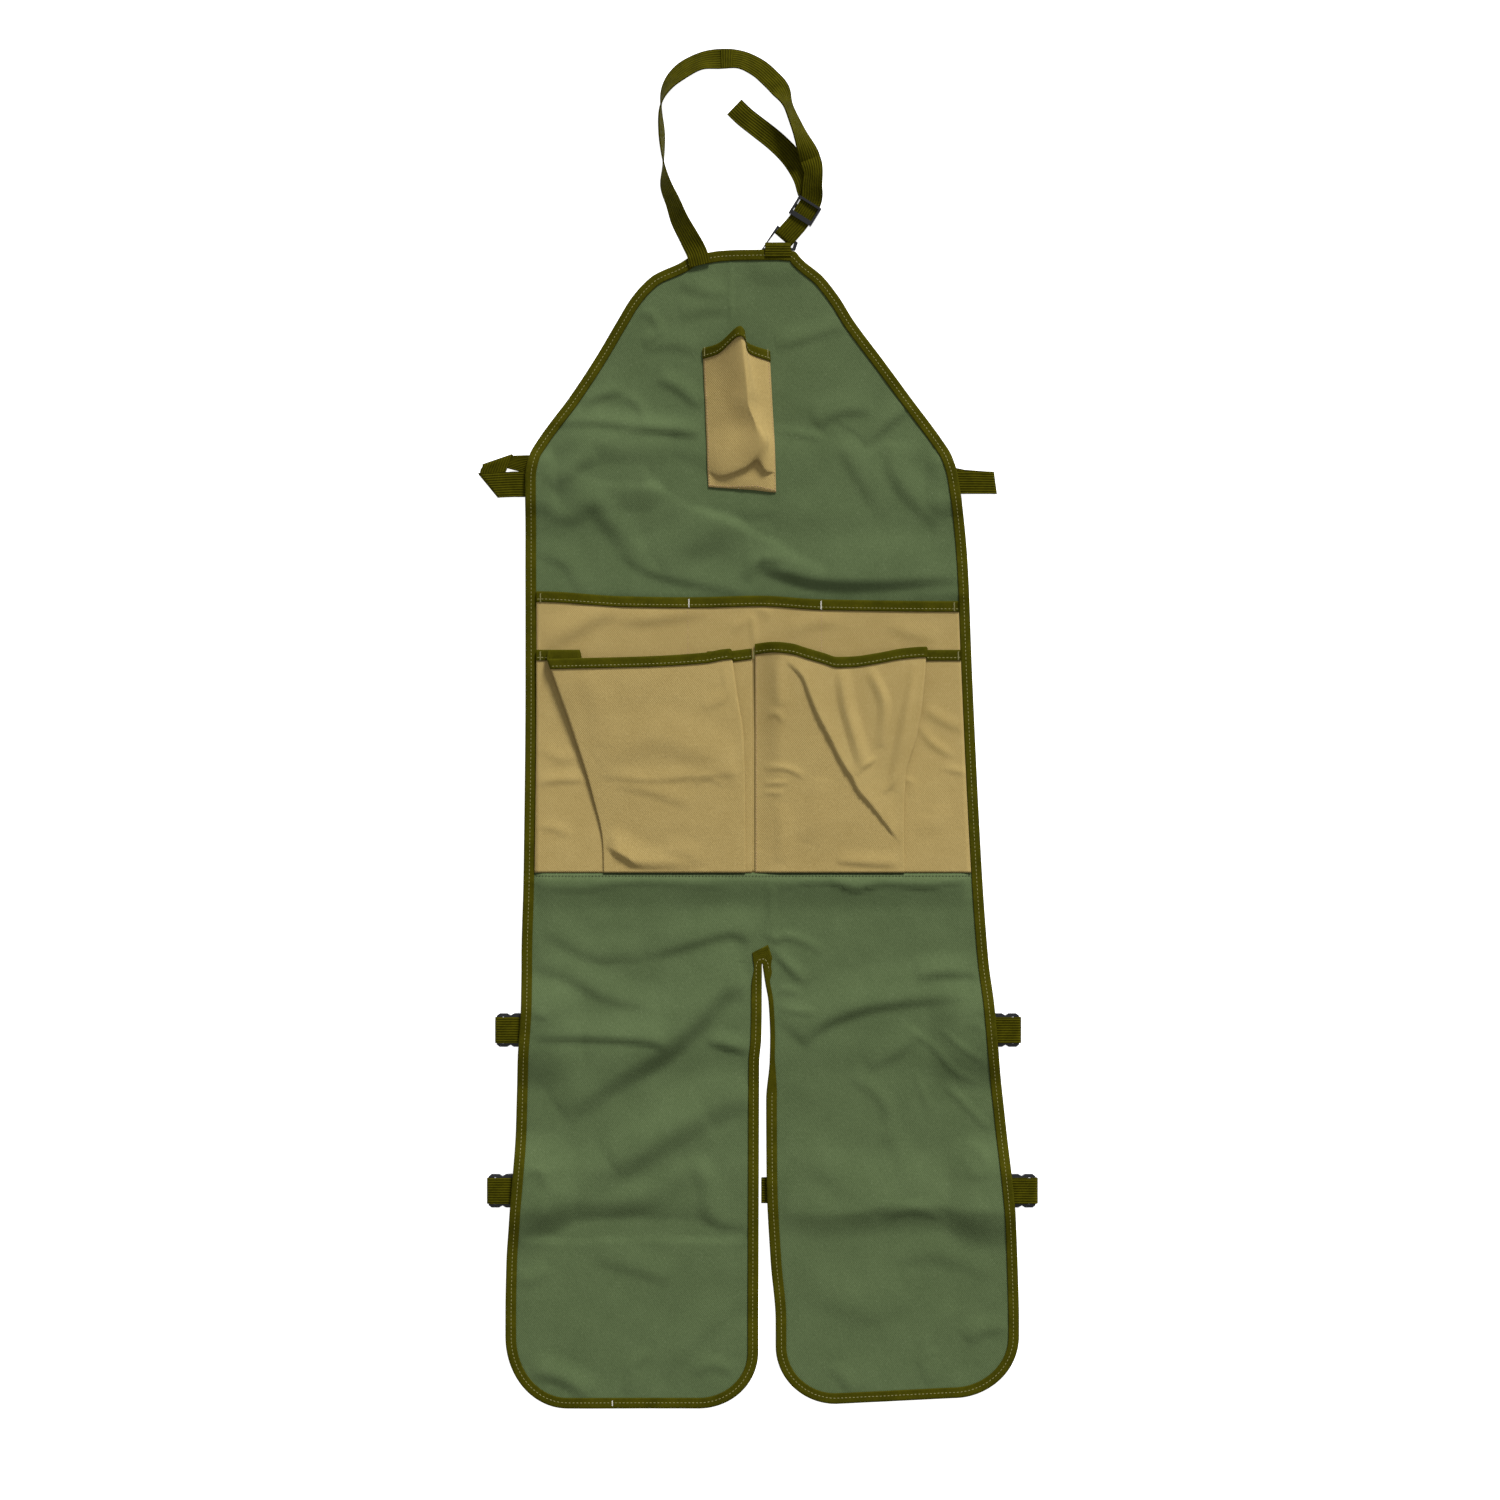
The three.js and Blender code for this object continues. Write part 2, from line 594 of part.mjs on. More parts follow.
function lowerPocket(pocket, side, cut) {
  const height = SEAM - LOWER_MOUTH;
  const half = cut.half;
  const rows = mouthRows(height, cut, evenRows(height, 6)).map((down) => {
    const y = -LOWER_MOUTH - down;
    const t = clamp01(down / height);
    const outerGap = TAPE_WIDTH + GAP;
    const x0 = side < 0 ? leftEdge(y) + outerGap : CENTRE_SEAM / 2;
    const x1 = side < 0 ? -CENTRE_SEAM / 2 : rightEdge(y) - outerGap;
    const place = (share) => mix(side < 0 ? leftEdge(y) : 0, side < 0 ? 0 : rightEdge(y), share);
    const tight = CLOTH + GAP;
    const closing = smooth((down - TAPE_WIDTH) / (height - TAPE_WIDTH));
    const pitch = mix(CLOTH + 2 * TAPE_ROOM + GAP, tight, closing);
    const room = TAPE_ROOM * smooth((3 * TAPE_WIDTH - down) / TAPE_WIDTH);
    const za = EDGE_LIFT + CLOTH + GAP + CLOTH + GAP + CLOTH / 2 + room;
    const zb = za + pitch;
    const fadeIn = smooth(down / (3 * TAPE_WIDTH));
    const swell = pocket.swell * POCKET_BULGE * fadeIn * smooth((1 - t) / POCKET_RUNS.swellFades);
    const low = pocket.leftPleat ? place(readTable(pocket.leftPleat, 't', t, 'fold')) : x0;
    const high = pocket.rightPleat ? place(readTable(pocket.rightPleat, 't', t, 'fold')) : x1;
    const frontZ = (x) => {
      const share = clamp01((x - low) / (high - low));
      const rise = pocket.leftPleat ? 1 : smooth(share / POCKET_RUNS.frontMeetsSide);
      const ridge = pocket.ridge;
      const { far } = distanceToSegment(share, t, ridge.from, ridge.to);
      const crest = ridge.height * Math.exp(-((far / ridge.reach) ** 2));
      const relief = swell * Math.sin(Math.PI * share) + crest * smooth(t / POCKET_RUNS.ridgeStarts);
      return za + rise * (2 * pitch + relief * smooth((1 - t) / POCKET_RUNS.frontMeetsSeam));
    };
    const left = pocketSide(pocket.leftPleat, low, x0 - cut.over, 1);
    const right = pocketSide(pocket.rightPleat, high, x1 + cut.over, -1);

    // Under and face points of one side, from its sewn edge through its pleat, if it has one, to the front
    function pocketSide(pleat, fold, edge, way) {
      if (!pleat) return { under: [], face: [], underStart: edge, faceStart: edge };
      const inner = place(readTable(pleat, 't', t, 'inner'));
      const layer = (shift, lower, higher) => {
        const [turn, front] = [inner + way * shift, fold + way * shift];
        return [[edge, lower], [turn, lower], [turn, higher], [front, higher]];
      };
      return {
        under: layer(half, za - half, zb + half),
        face: layer(-half, za + half, zb - half),
        underStart: fold + way * half,
        faceStart: fold - way * half,
      };
    }

    const under = spread(left.underStart, right.underStart, FRONT_COLUMNS).map((x) => [x, frontZ(x) - half]);
    const face = spread(left.faceStart, right.faceStart, FRONT_COLUMNS).map((x) => [x, frontZ(x) + half]);
    const below = [...left.under, ...under, ...right.under.reverse()];
    const above = [...right.face, ...face.reverse(), ...left.face.reverse()];
    return [...below, ...above].map(([x, z]) => [x, y, z]);
  });
  return loft(rows, sheetEnd);
}

// The chest pocket: a narrow shell that stands up along one ridge, and falls to its bottom in a gusset
const CHEST_ROWS = [
  { t: 0.00, ridge: 0.50, height: 1.00, width: 1.00 },
  { t: 0.30, ridge: 0.58, height: 0.92, width: 1.00 },
  { t: 0.55, ridge: 0.68, height: 0.76, width: 1.01 },
  { t: 0.72, ridge: 0.80, height: 0.58, width: 1.02 },
  { t: 0.86, ridge: 0.66, height: 0.34, width: 1.03 },
  { t: 1.00, ridge: 0.55, height: 0.02, width: 1.04 },
];
const CHEST_COLUMNS = [0, 0.06, 0.24, 0.42, 0.5, 0.58, 0.68, 0.8, 0.94, 1];
const CHEST_MOUTH_RISE = 18;
const CHEST_ROUNDNESS = 1.2;

// How far the mouth's peak reaches to each side of the ridge and down it, as shares of the width and height
const CHEST_PEAK = { across: 0.45, down: 0.625 };
const SLOPE_STEP = 0.02;

function chestPocket(cut) {
  const rows = mouthRows(CHEST_HEIGHT, cut, evenRows(CHEST_HEIGHT, 7)).map((down) => {
    const t = clamp01(down / CHEST_HEIGHT);
    const read = (column) => readTable(CHEST_ROWS, 't', t, column);
    const [ridge, height, width] = [read('ridge'), read('height'), read('width')];
    const half = CHEST_WIDTH * width / 2;
    const profile = (share) => {
      const side = share < ridge ? share / ridge : (1 - share) / (1 - ridge);
      return CHEST_RIDGE * height * Math.sin(clamp01(side) * Math.PI / 2) ** CHEST_ROUNDNESS;
    };
    const peakDown = CHEST_MOUTH_RISE * smooth(1 - t / CHEST_PEAK.down);
    const columns = CHEST_COLUMNS.map((share) => {
      const x = CHEST_CENTRE + mix(-half, half, share);
      const y = -CHEST_MOUTH - down + peakDown * smooth(1 - Math.abs(share - ridge) / CHEST_PEAK.across);
      const climb = profile(share + SLOPE_STEP) - profile(share - SLOPE_STEP);
      const slope = climb / (2 * SLOPE_STEP * CHEST_WIDTH);
      const room = TAPE_ROOM * smooth((3 * TAPE_WIDTH - down) / TAPE_WIDTH);
      return { x, y, z: bodyFace(x, y, FACE_REACH) + GAP + CLOTH / 2 + room + profile(share), slope };
    });
    return sheetSection(columns, cut);
  });
  return loft(rows, sheetEnd);
}

// A flat band of webbing along a route, rolled about its own run at each station
function ribbon(stations, width) {
  const points = stations.map((s) => new THREE.Vector3(s.x, s.y, 0));
  const sections = stations.map((s, i) => {
    const [before, after] = [points[Math.max(i - 1, 0)], points[Math.min(i + 1, points.length - 1)]];
    const run = after.clone().sub(before).normalize();
    if (s.turn !== undefined) run.set(Math.cos(s.turn), Math.sin(s.turn), 0);
    const aside = new THREE.Vector3(run.y, -run.x, 0);
    const roll = THREE.MathUtils.degToRad(s.roll);
    const wide = aside.clone().multiplyScalar(Math.cos(roll)).add(new THREE.Vector3(0, 0, Math.sin(roll)));
    const thick = aside.clone().multiplyScalar(-Math.sin(roll)).add(new THREE.Vector3(0, 0, Math.cos(roll)));
    const z = s.lift + width / 2 * Math.abs(Math.sin(roll)) + WEBBING / 2 * Math.abs(Math.cos(roll));
    const middle = points[i].clone().setZ(z);
    wide.multiplyScalar(width / 2);
    thick.multiplyScalar(WEBBING / 2);
    const corners = [[-1, -1], [1, -1], [1, 1], [-1, 1]];
    return corners.map(([a, b]) => middle.clone().addScaledVector(wide, a).addScaledVector(thick, b).toArray());
  });
  return loft(sections, sheetEnd);
}

// Route of the neck strap: shares of the loop's width and height, measured from its left and from the bib's
// top, with the height of the lower edge in millimetres and the roll in degrees
const LOOP_LEFT = -91;
const loopPlace = (row) => ({ x: LOOP_LEFT + row.over * LOOP_WIDTH, y: row.up * LOOP_HEIGHT });
const STRAP_FOOT = { over: 0.245, up: -0.040 };
const BINDING_FACE = bodyFace(loopPlace(STRAP_FOOT).x, loopPlace(STRAP_FOOT).y, GRID_STEP) + 2 * GAP + TAPE;
const NECK_ROUTE = [
  { over: 0.255, up: -0.070, lift: BINDING_FACE, roll: 0 },
  { over: 0.235, up: -0.010, lift: BINDING_FACE, roll: 0 },
  { over: 0.190, up: 0.060, lift: 3, roll: 22 },
  { over: 0.130, up: 0.150, lift: 1.5, roll: 35 },
  { over: 0.090, up: 0.235, lift: 1, roll: 48 },
  { over: 0.045, up: 0.325, lift: 0.6, roll: 60 },
  { over: 0.030, up: 0.430, lift: 0.4, roll: 88 },
  { over: 0.020, up: 0.580, lift: 0.4, roll: 104 },
  { over: 0.015, up: 0.710, lift: 0.4, roll: 90 },
  { over: 0.055, up: 0.810, lift: 0.6, roll: 58 },
  { over: 0.140, up: 0.885, lift: 1, roll: 34 },
  { over: 0.255, up: 0.935, lift: 1, roll: 30 },
  { over: 0.375, up: 0.950, lift: 1, roll: 12 },
  { over: 0.500, up: 0.945, lift: 1, roll: 24 },
  { over: 0.610, up: 0.905, lift: 1, roll: 20 },
  { over: 0.700, up: 0.845, lift: 1, roll: 20 },
  { over: 0.775, up: 0.770, lift: 1.5, roll: 50 },
  { over: 0.835, up: 0.660, lift: 2.5, roll: 62 },
  { over: 0.895, up: 0.550, lift: 3.5, roll: 64 },
  { over: 0.945, up: 0.455, lift: 4.5, roll: 70 },
  { over: 0.965, up: 0.395, lift: 5, roll: 100 },
  { over: 0.968, up: 0.345, lift: 4.8, roll: 135 },
  { over: 0.955, up: 0.300, lift: 4.5, roll: 165 },
];
const TAIL_ROUTE = [
  { over: 0.915, up: 0.300 },
  { over: 0.885, up: 0.375 },
  { over: 0.815, up: 0.465 },
  { over: 0.725, up: 0.540 },
  { over: 0.625, up: 0.605 },
  { over: 0.530, up: 0.665 },
  { over: 0.465, up: 0.715 },
];
const TAIL_LIFT = 0.2;
const SLIDER_AT = { over: 0.900, up: 0.197, turn: -122 };
const RING_AT = { over: 0.775, up: 0.067, turn: -131 };

// The strap's two layers at the slider and at the ring: a low one that comes back, and a high one
const LOW_LAYER = { slider: SLIDER_BAR + GAP, ring: 0 };
const HIGH_LAYER = { slider: SLIDER_BAR + 2 * GAP + WEBBING, ring: RING_WIRE + 2 * GAP + WEBBING };

// Plan places counted along and aside from a turned fitting's middle
function frameAt(row) {
  const middle = loopPlace(row);
  const turn = THREE.MathUtils.degToRad(row.turn);
  const [cos, sin] = [Math.cos(turn), Math.sin(turn)];
  return (along, aside) => [middle.x + cos * along + sin * aside, middle.y + sin * along - cos * aside];
}

const turned = (place, a0, a1, s0, s1) => [place(a0, s0), place(a1, s0), place(a1, s1), place(a0, s1)];
const FITTINGS = { slider: SLIDER_AT, ring: RING_AT };
const RING_REACH = 8;
const besideSlider = frameAt(SLIDER_AT);
const besideRing = frameAt(RING_AT);

function neckStrap() {
  const turnOf = (row, back) => THREE.MathUtils.degToRad(row.turn + (back ? 180 : 0));
  const high = (fitting, place, along) => {
    const [x, y] = place(along, 0);
    return { x, y, lift: HIGH_LAYER[fitting], roll: 180, turn: turnOf(FITTINGS[fitting], false) };
  };
  const low = (fitting, place, along) => {
    const [x, y] = place(along, 0);
    return { x, y, lift: LOW_LAYER[fitting], roll: 0, turn: turnOf(FITTINGS[fitting], true) };
  };
  const half = SLIDER_LENGTH / 2 + 1;
  const over = [
    ...NECK_ROUTE.map((row) => ({ ...loopPlace(row), lift: row.lift, roll: row.roll })),
    high('slider', besideSlider, -half),
    high('slider', besideSlider, half),
    high('ring', besideRing, -RING_REACH),
    high('ring', besideRing, 0),
  ];
  const under = [
    low('ring', besideRing, 0),
    low('ring', besideRing, -RING_REACH),
    low('slider', besideSlider, half),
    low('slider', besideSlider, -half),
    ...TAIL_ROUTE.map((row) => ({ ...loopPlace(row), lift: TAIL_LIFT, roll: 0 })),
  ];
  const turn = turned(besideRing, -WEBBING, 0, -NECK_WIDTH / 2, NECK_WIDTH / 2);
  const wall = plate(turn, LOW_LAYER.ring + WEBBING / 2, HIGH_LAYER.ring + WEBBING / 2);
  return ribbon(over, NECK_WIDTH).add(ribbon(under, NECK_WIDTH)).add(wall);
}

// The slider: two side rails, a low middle bar and two high end bars, with both layers of webbing between
function neckSlider() {
  const inner = NECK_WIDTH / 2 + GAP;
  const outer = inner + SLIDER_BAR;
  const top = HIGH_LAYER.slider + WEBBING + GAP;
  const end = SLIDER_LENGTH / 2;
  const strip = (a0, a1, s0, s1, z0, z1) => plate(turned(besideSlider, a0, a1, s0, s1), z0, z1);
  return strip(-SLIDER_BAR, SLIDER_BAR, -outer, outer, 0, SLIDER_BAR)
    .add(strip(-end, end, -outer, -inner, 0, top + SLIDER_BAR))
    .add(strip(-end, end, inner, outer, 0, top + SLIDER_BAR))
    .add(strip(-end, SLIDER_BAR - end, -outer, outer, top, top + SLIDER_BAR))
    .add(strip(end - 2 * SLIDER_BAR, end, -outer, outer, top, top + SLIDER_BAR));
}

// The ring: a flat wire frame between the strap's turn and the ring tab's turn
const RING_TAB_TOP = GAP + RING_WIRE + GAP + WEBBING;

function ringCorners(depth) {
  const side = NECK_WIDTH / 2 + GAP + RING_WIRE - depth;
  const bar = WEBBING + GAP + RING_WIRE - depth;
  const foot = GAP + depth;
  const spread = RING_FOOT_ROOM + RING_WIRE - depth;
  const feet = [[RING_TAB.x0 - spread, foot], [RING_TAB.x1 + spread, foot]];
  return [...feet, besideRing(-bar, -side), besideRing(-bar, side)];
}

function neckRing() {
  const low = WEBBING + GAP;
  const hole = plate(ringCorners(RING_WIRE), low - 1, low + RING_WIRE + 1);
  return plate(ringCorners(0), low, low + RING_WIRE).subtract(hole);
}

// The ring tab: webbing folded through the ring, its ends behind the bib's edge and over its binding
function ringTab() {
  const face = STRAP_TOP + UNDER_EDGE + CLOTH + GAP + TAPE + GAP;
  const top = RING_TAB_TOP;
  const front = top - RING_TAB_FRONT;
  return block(RING_TAB.x0, -LAP, 0, RING_TAB.x1, top, WEBBING)
    .add(block(RING_TAB.x0, top - WEBBING, 0, RING_TAB.x1, top, face + WEBBING))
    .add(block(RING_TAB.x0, front, face, RING_TAB.x1, top, face + WEBBING));
}

// The buckles' outlines: half widths along them, as shares of their length and half their width
const SOCKET_SIDES = [
  { along: 0.00, half: 0.86 },
  { along: 0.08, half: 1.00 },
  { along: 0.28, half: 1.00 },
  { along: 0.37, half: 0.88 },
  { along: 0.46, half: 1.00 },
  { along: 0.92, half: 1.00 },
  { along: 1.00, half: 0.94 },
];
const PLUG_SIDES = [
  { along: 0.00, half: 0.94 },
  { along: 0.12, half: 1.00 },
  { along: 0.90, half: 1.00 },
  { along: 1.00, half: 0.86 },
];
const BAR_LOW = WEBBING + GAP;
const BAR_HIGH = BUCKLE_THICK - WEBBING - GAP;

// Shapes along a buckle, measured inwards from its outer end, where the socket's strap comes in
function buckleFrame(outerEnd, y, outwards) {
  const xAt = (along) => outerEnd - outwards * along;
  return {
    xAt,
    box: (a0, a1, side, z0, z1) => block(xAt(a0), y - side, z0, xAt(a1), y + side, z1),
    prong: (a0, a1, s0, s1, z0, z1) => block(xAt(a0), y + s0, z0, xAt(a1), y + s1, z1),
    outline: (rows, start, length) => [
      ...rows.map((row) => [xAt(start + row.along * length), y + row.half * BUCKLE_WIDTH / 2]),
      ...[...rows].reverse().map((row) => [xAt(start + row.along * length), y - row.half * BUCKLE_WIDTH / 2]),
    ],
    section: (points, width) => {
      return runAlongY(points.map(([along, z]) => [xAt(along), z]), y - width / 2, y + width / 2);
    },
  };
}

const STRAP_ROOM = LEG_WIDTH / 2 + GAP;
const CAVITY_SIDE = BUCKLE_WIDTH / 2 * SOCKET_SIDES[3].half - BUCKLE_WALL;

function buckleSocket(frame) {
  const cavityEnd = SOCKET_LENGTH - PRONG_LENGTH - 2 * GAP;
  const slotEnd = BUCKLE_BAR + BUCKLE_SLOT;
  return plate(frame.outline(SOCKET_SIDES, 0, SOCKET_LENGTH), 0, BUCKLE_THICK)
    .subtract(frame.box(-1, slotEnd, STRAP_ROOM, -1, BAR_LOW))
    .subtract(frame.box(-1, slotEnd, STRAP_ROOM, BAR_HIGH, BUCKLE_THICK + 1))
    .subtract(frame.box(BUCKLE_BAR, slotEnd, STRAP_ROOM, -1, BUCKLE_THICK + 1))
    .subtract(frame.box(cavityEnd, SOCKET_LENGTH + 1, CAVITY_SIDE, BUCKLE_WALL, BUCKLE_THICK - BUCKLE_WALL));
}

function bucklePlug(frame) {
  const start = SOCKET_LENGTH + GAP;
  const bar = start + PLUG_LENGTH - BUCKLE_BAR;
  const side = CAVITY_SIDE - GAP;
  const reach = [SOCKET_LENGTH - PRONG_LENGTH, start + 1];
  const levels = [BUCKLE_WALL + GAP, BUCKLE_THICK - BUCKLE_WALL - GAP];
  return plate(frame.outline(PLUG_SIDES, start, PLUG_LENGTH), 0, BUCKLE_THICK)
    .subtract(frame.box(bar - BUCKLE_SLOT, bar + BUCKLE_BAR + 1, STRAP_ROOM, -1, BAR_LOW))
    .subtract(frame.box(bar - BUCKLE_SLOT, bar + BUCKLE_BAR + 1, STRAP_ROOM, BAR_HIGH, BUCKLE_THICK + 1))
    .subtract(frame.box(bar - BUCKLE_SLOT, bar, STRAP_ROOM, -1, BUCKLE_THICK + 1))
    .add(frame.prong(...reach, side - PRONG_WIDTH, side, ...levels))
    .add(frame.prong(...reach, -side, PRONG_WIDTH - side, ...levels));
}

// Webbing that comes in low, passes under a bar, up through its slot and back over it.
// far is where the webbing comes from, and way is 1 where that lies inwards of the bar
function hookSection(barFace, slotFace, far, way) {
  const wallNear = slotFace - way * GAP;
  const wallFar = wallNear - way * WEBBING;
  const high = BAR_HIGH + GAP;
  const back = barFace + way * HOOK_LENGTH;
  return [
    [far, 0], [far, WEBBING], [wallNear, WEBBING], [wallNear, high],
    [back, high], [back, high + WEBBING], [wallFar, high + WEBBING], [wallFar, 0],
  ];
}

// A leg's tab: sewn under the binding, out over the buckle, round its bar's end and back under it
function legTab(frame) {
  const fold = -WEBBING - GAP;
  const sewn = TAB_REACH + LAP + fold;
  const tuck = BUCKLE_BAR + BUCKLE_SLOT / 2;
  return frame.section([
    [sewn, TAB_LEVEL], [fold + WEBBING, TAB_LEVEL], [fold + WEBBING, WEBBING], [tuck, WEBBING],
    [tuck, 0], [fold, 0], [fold, TAB_TOP], [sewn, TAB_TOP],
  ], LEG_WIDTH);
}

function legStrap(frame, inner) {
  const plugEnd = SOCKET_LENGTH + GAP + PLUG_LENGTH;
  return frame.section(hookSection(plugEnd, plugEnd - BUCKLE_BAR, inner, 1), LEG_WIDTH);
}

const LEG_PIECES = LEG_STRAPS.flatMap((strap) => {
  const outerEnd = strap.outer + strap.outwards * (TAB_REACH - WEBBING - GAP);
  const frame = buckleFrame(outerEnd, strap.y, strap.outwards);
  const inner = Math.abs(outerEnd - strap.inner) + strap.peek;
  return [
    [`${strap.name}_tab`, legTab(frame), OLIVE, 0.85],
    [`${strap.name}_strap`, legStrap(frame, inner), OLIVE, 0.85],
    [`${strap.name}_socket`, buckleSocket(frame), BLACK, 0.4],
    [`${strap.name}_plug`, bucklePlug(frame), BLACK, 0.4],
  ];
});

// The waist strap's folds, in webbing widths from where each band leaves the body's edge.
// On the left the band turns up over one slanting fold and then back behind the body over another
const LEFT_FOLDS = {
  lowEnd: [-1.08, -0.58],
  highEnd: [-1.84, 0.35],
  upperLow: [-1.70, 0.69],
  upperHigh: [-0.56, 1.08],
  selvedge: [-0.86, 0.33],
};
const RIGHT_FOLD = { high: [1.35, 0.42], low: [1.48, -0.42] };
const BAND_HALF = { high: 0.42, low: 0.56 };

// A thin wall along a fold, inside the webbing that it joins
function foldWall(from, to, z0, z1) {
  const run = new THREE.Vector2(to[0] - from[0], to[1] - from[1]).normalize();
  const inside = [-run.y, run.x];
  return plate([from, to, moveInto(to, inside, WEBBING), moveInto(from, inside, WEBBING)], z0, z1);
}

const waistFrame = buckleFrame(WAIST_BUCKLE_ACROSS + SOCKET_LENGTH, -WAIST_DOWN + WAIST_RISE, 1);

function waistStrapLeft() {
  const edge = leftEdge(-WAIST_DOWN);
  const at = ([x, y]) => [edge + x * WAIST_WIDTH, -WAIST_DOWN + y * WAIST_WIDTH];
  const fold = Object.fromEntries(Object.entries(LEFT_FOLDS).map(([key, place]) => [key, at(place)]));
  const runLow = -WAIST_DOWN + WAIST_RISE - WAIST_WIDTH / 2;
  const runHigh = runLow + WAIST_WIDTH;
  const sewn = edge + LAP;
  const [sewnHigh, sewnLow] = [at([0, BAND_HALF.high])[1], at([0, -BAND_HALF.low])[1]];
  const band = [[sewn, sewnHigh], fold.highEnd, fold.lowEnd, [sewn, sewnLow]];
  const rising = [fold.highEnd, fold.lowEnd, fold.selvedge, fold.upperHigh, fold.upperLow];
  const straight = edge + WAIST_WIDTH;
  const behind = [fold.upperLow, fold.selvedge, [straight, runLow], [straight, runHigh], fold.upperHigh];
  const plugEnd = SOCKET_LENGTH + GAP + PLUG_LENGTH;
  const far = waistFrame.xAt(0) - straight + WEBBING;
  return plate(band, BAND_LEVEL, BAND_TOP)
    .add(plate(rising, BAND_LEVEL / 2, BAND_LEVEL / 2 + WEBBING))
    .add(plate(behind, 0, WEBBING))
    .add(foldWall(fold.highEnd, fold.lowEnd, BAND_LEVEL / 2, BAND_TOP))
    .add(foldWall(fold.upperHigh, fold.upperLow, 0, BAND_LEVEL / 2 + WEBBING))
    .add(waistFrame.section(hookSection(plugEnd, plugEnd - BUCKLE_BAR, far, 1), WAIST_WIDTH));
}

function waistStrapRight() {
  const edge = rightEdge(-WAIST_DOWN);
  const at = ([x, y]) => [edge + x * WAIST_WIDTH, -WAIST_DOWN + y * WAIST_WIDTH];
  const [high, low] = [at(RIGHT_FOLD.high), at(RIGHT_FOLD.low)];
  const sewn = edge - LAP;
  const runLow = -WAIST_DOWN + WAIST_RISE - WAIST_WIDTH / 2;
  const straight = waistFrame.xAt(-2 * HOOK_LENGTH);
  const band = [[sewn, at([0, -BAND_HALF.low])[1]], low, high, [sewn, at([0, BAND_HALF.high])[1]]];
  const behind = [[straight, runLow], low, high, [straight, runLow + WAIST_WIDTH]];
  return plate(band, BAND_LEVEL, BAND_TOP)
    .add(plate(behind, 0, WEBBING))
    .add(foldWall(low, high, 0, BAND_TOP))
    .add(waistFrame.section(hookSection(0, BUCKLE_BAR, -2 * HOOK_LENGTH - WEBBING, -1), WAIST_WIDTH));
}

const PIECES = [
  ['body_panel', bodyPanel(), GREEN, 0.9],
  ['edge_binding', edgeBinding(), OLIVE, 0.85],
  ['chest_pocket', chestPocket(WHOLE_SHEET), TAN, 0.9],
  ['chest_pocket_binding', mouthTape(chestPocket), OLIVE, 0.85],
  ['upper_pocket', upperPocket(WHOLE_SHEET), TAN, 0.9],
  ['upper_pocket_binding', mouthTape(upperPocket), OLIVE, 0.85],
  ['left_pocket', lowerPocket(LEFT_POCKET, -1, WHOLE_SHEET), TAN, 0.9],
  ['left_pocket_binding', mouthTape((cut) => lowerPocket(LEFT_POCKET, -1, cut)), OLIVE, 0.85],
  ['right_pocket', lowerPocket(RIGHT_POCKET, 1, WHOLE_SHEET), TAN, 0.9],
  ['right_pocket_binding', mouthTape((cut) => lowerPocket(RIGHT_POCKET, 1, cut)), OLIVE, 0.85],
  ['neck_strap', neckStrap(), OLIVE, 0.85],
  ['neck_slider', neckSlider(), BLACK, 0.4],
  ['neck_ring', neckRing(), BLACK, 0.3, 0.6],
  ['ring_tab', ringTab(), OLIVE, 0.85],
  ['waist_strap_left', waistStrapLeft(), OLIVE, 0.85],
  ['waist_strap_right', waistStrapRight(), OLIVE, 0.85],
  ['waist_socket', buckleSocket(waistFrame), BLACK, 0.4],
  ['waist_plug', bucklePlug(waistFrame), BLACK, 0.4],
  ...LEG_PIECES,
];
for (const piece of PIECES) addPiece(...piece);

const box = new THREE.Box3().setFromObject(group);
const centre = box.getCenter(new THREE.Vector3());
group.position.set(-centre.x, -centre.y, -box.min.z);

export default group;
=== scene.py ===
"""The gardening apron laid flat on a pale floor: cloth, tape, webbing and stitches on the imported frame."""
import math

import bpy
import numpy as np
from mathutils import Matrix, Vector


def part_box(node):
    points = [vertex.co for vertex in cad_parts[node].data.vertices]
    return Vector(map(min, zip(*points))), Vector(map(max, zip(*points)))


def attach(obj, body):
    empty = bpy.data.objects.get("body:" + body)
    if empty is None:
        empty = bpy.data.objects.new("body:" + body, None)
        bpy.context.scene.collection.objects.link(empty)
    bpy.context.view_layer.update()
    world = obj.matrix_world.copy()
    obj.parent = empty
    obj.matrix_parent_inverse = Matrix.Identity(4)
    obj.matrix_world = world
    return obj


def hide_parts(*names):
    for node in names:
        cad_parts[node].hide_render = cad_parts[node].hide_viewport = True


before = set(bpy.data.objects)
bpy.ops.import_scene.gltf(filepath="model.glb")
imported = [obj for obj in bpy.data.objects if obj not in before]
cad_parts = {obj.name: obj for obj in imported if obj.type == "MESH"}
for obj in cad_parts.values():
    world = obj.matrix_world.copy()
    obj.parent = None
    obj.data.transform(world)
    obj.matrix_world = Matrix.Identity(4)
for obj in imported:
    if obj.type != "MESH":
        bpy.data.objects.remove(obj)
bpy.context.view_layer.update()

# The source's own millimetres: x from the apron's middle, y down from the top of the bib, z up from the floor
BINDING_RIGHT = 253.44
_, BINDING_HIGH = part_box("edge_binding")
SHIFT = np.array([BINDING_HIGH.x * 1000 - BINDING_RIGHT, BINDING_HIGH.y * 1000, 0.0])

# Cloth, tape and webbing
CLOTH = 1.0
TAPE = 0.8
TAPE_WIDTH = 9.0
TAPE_ROOM = 0.15
TAPE_TOP = CLOTH / 2 + TAPE_ROOM + TAPE
TAPE_STEP = 2.0
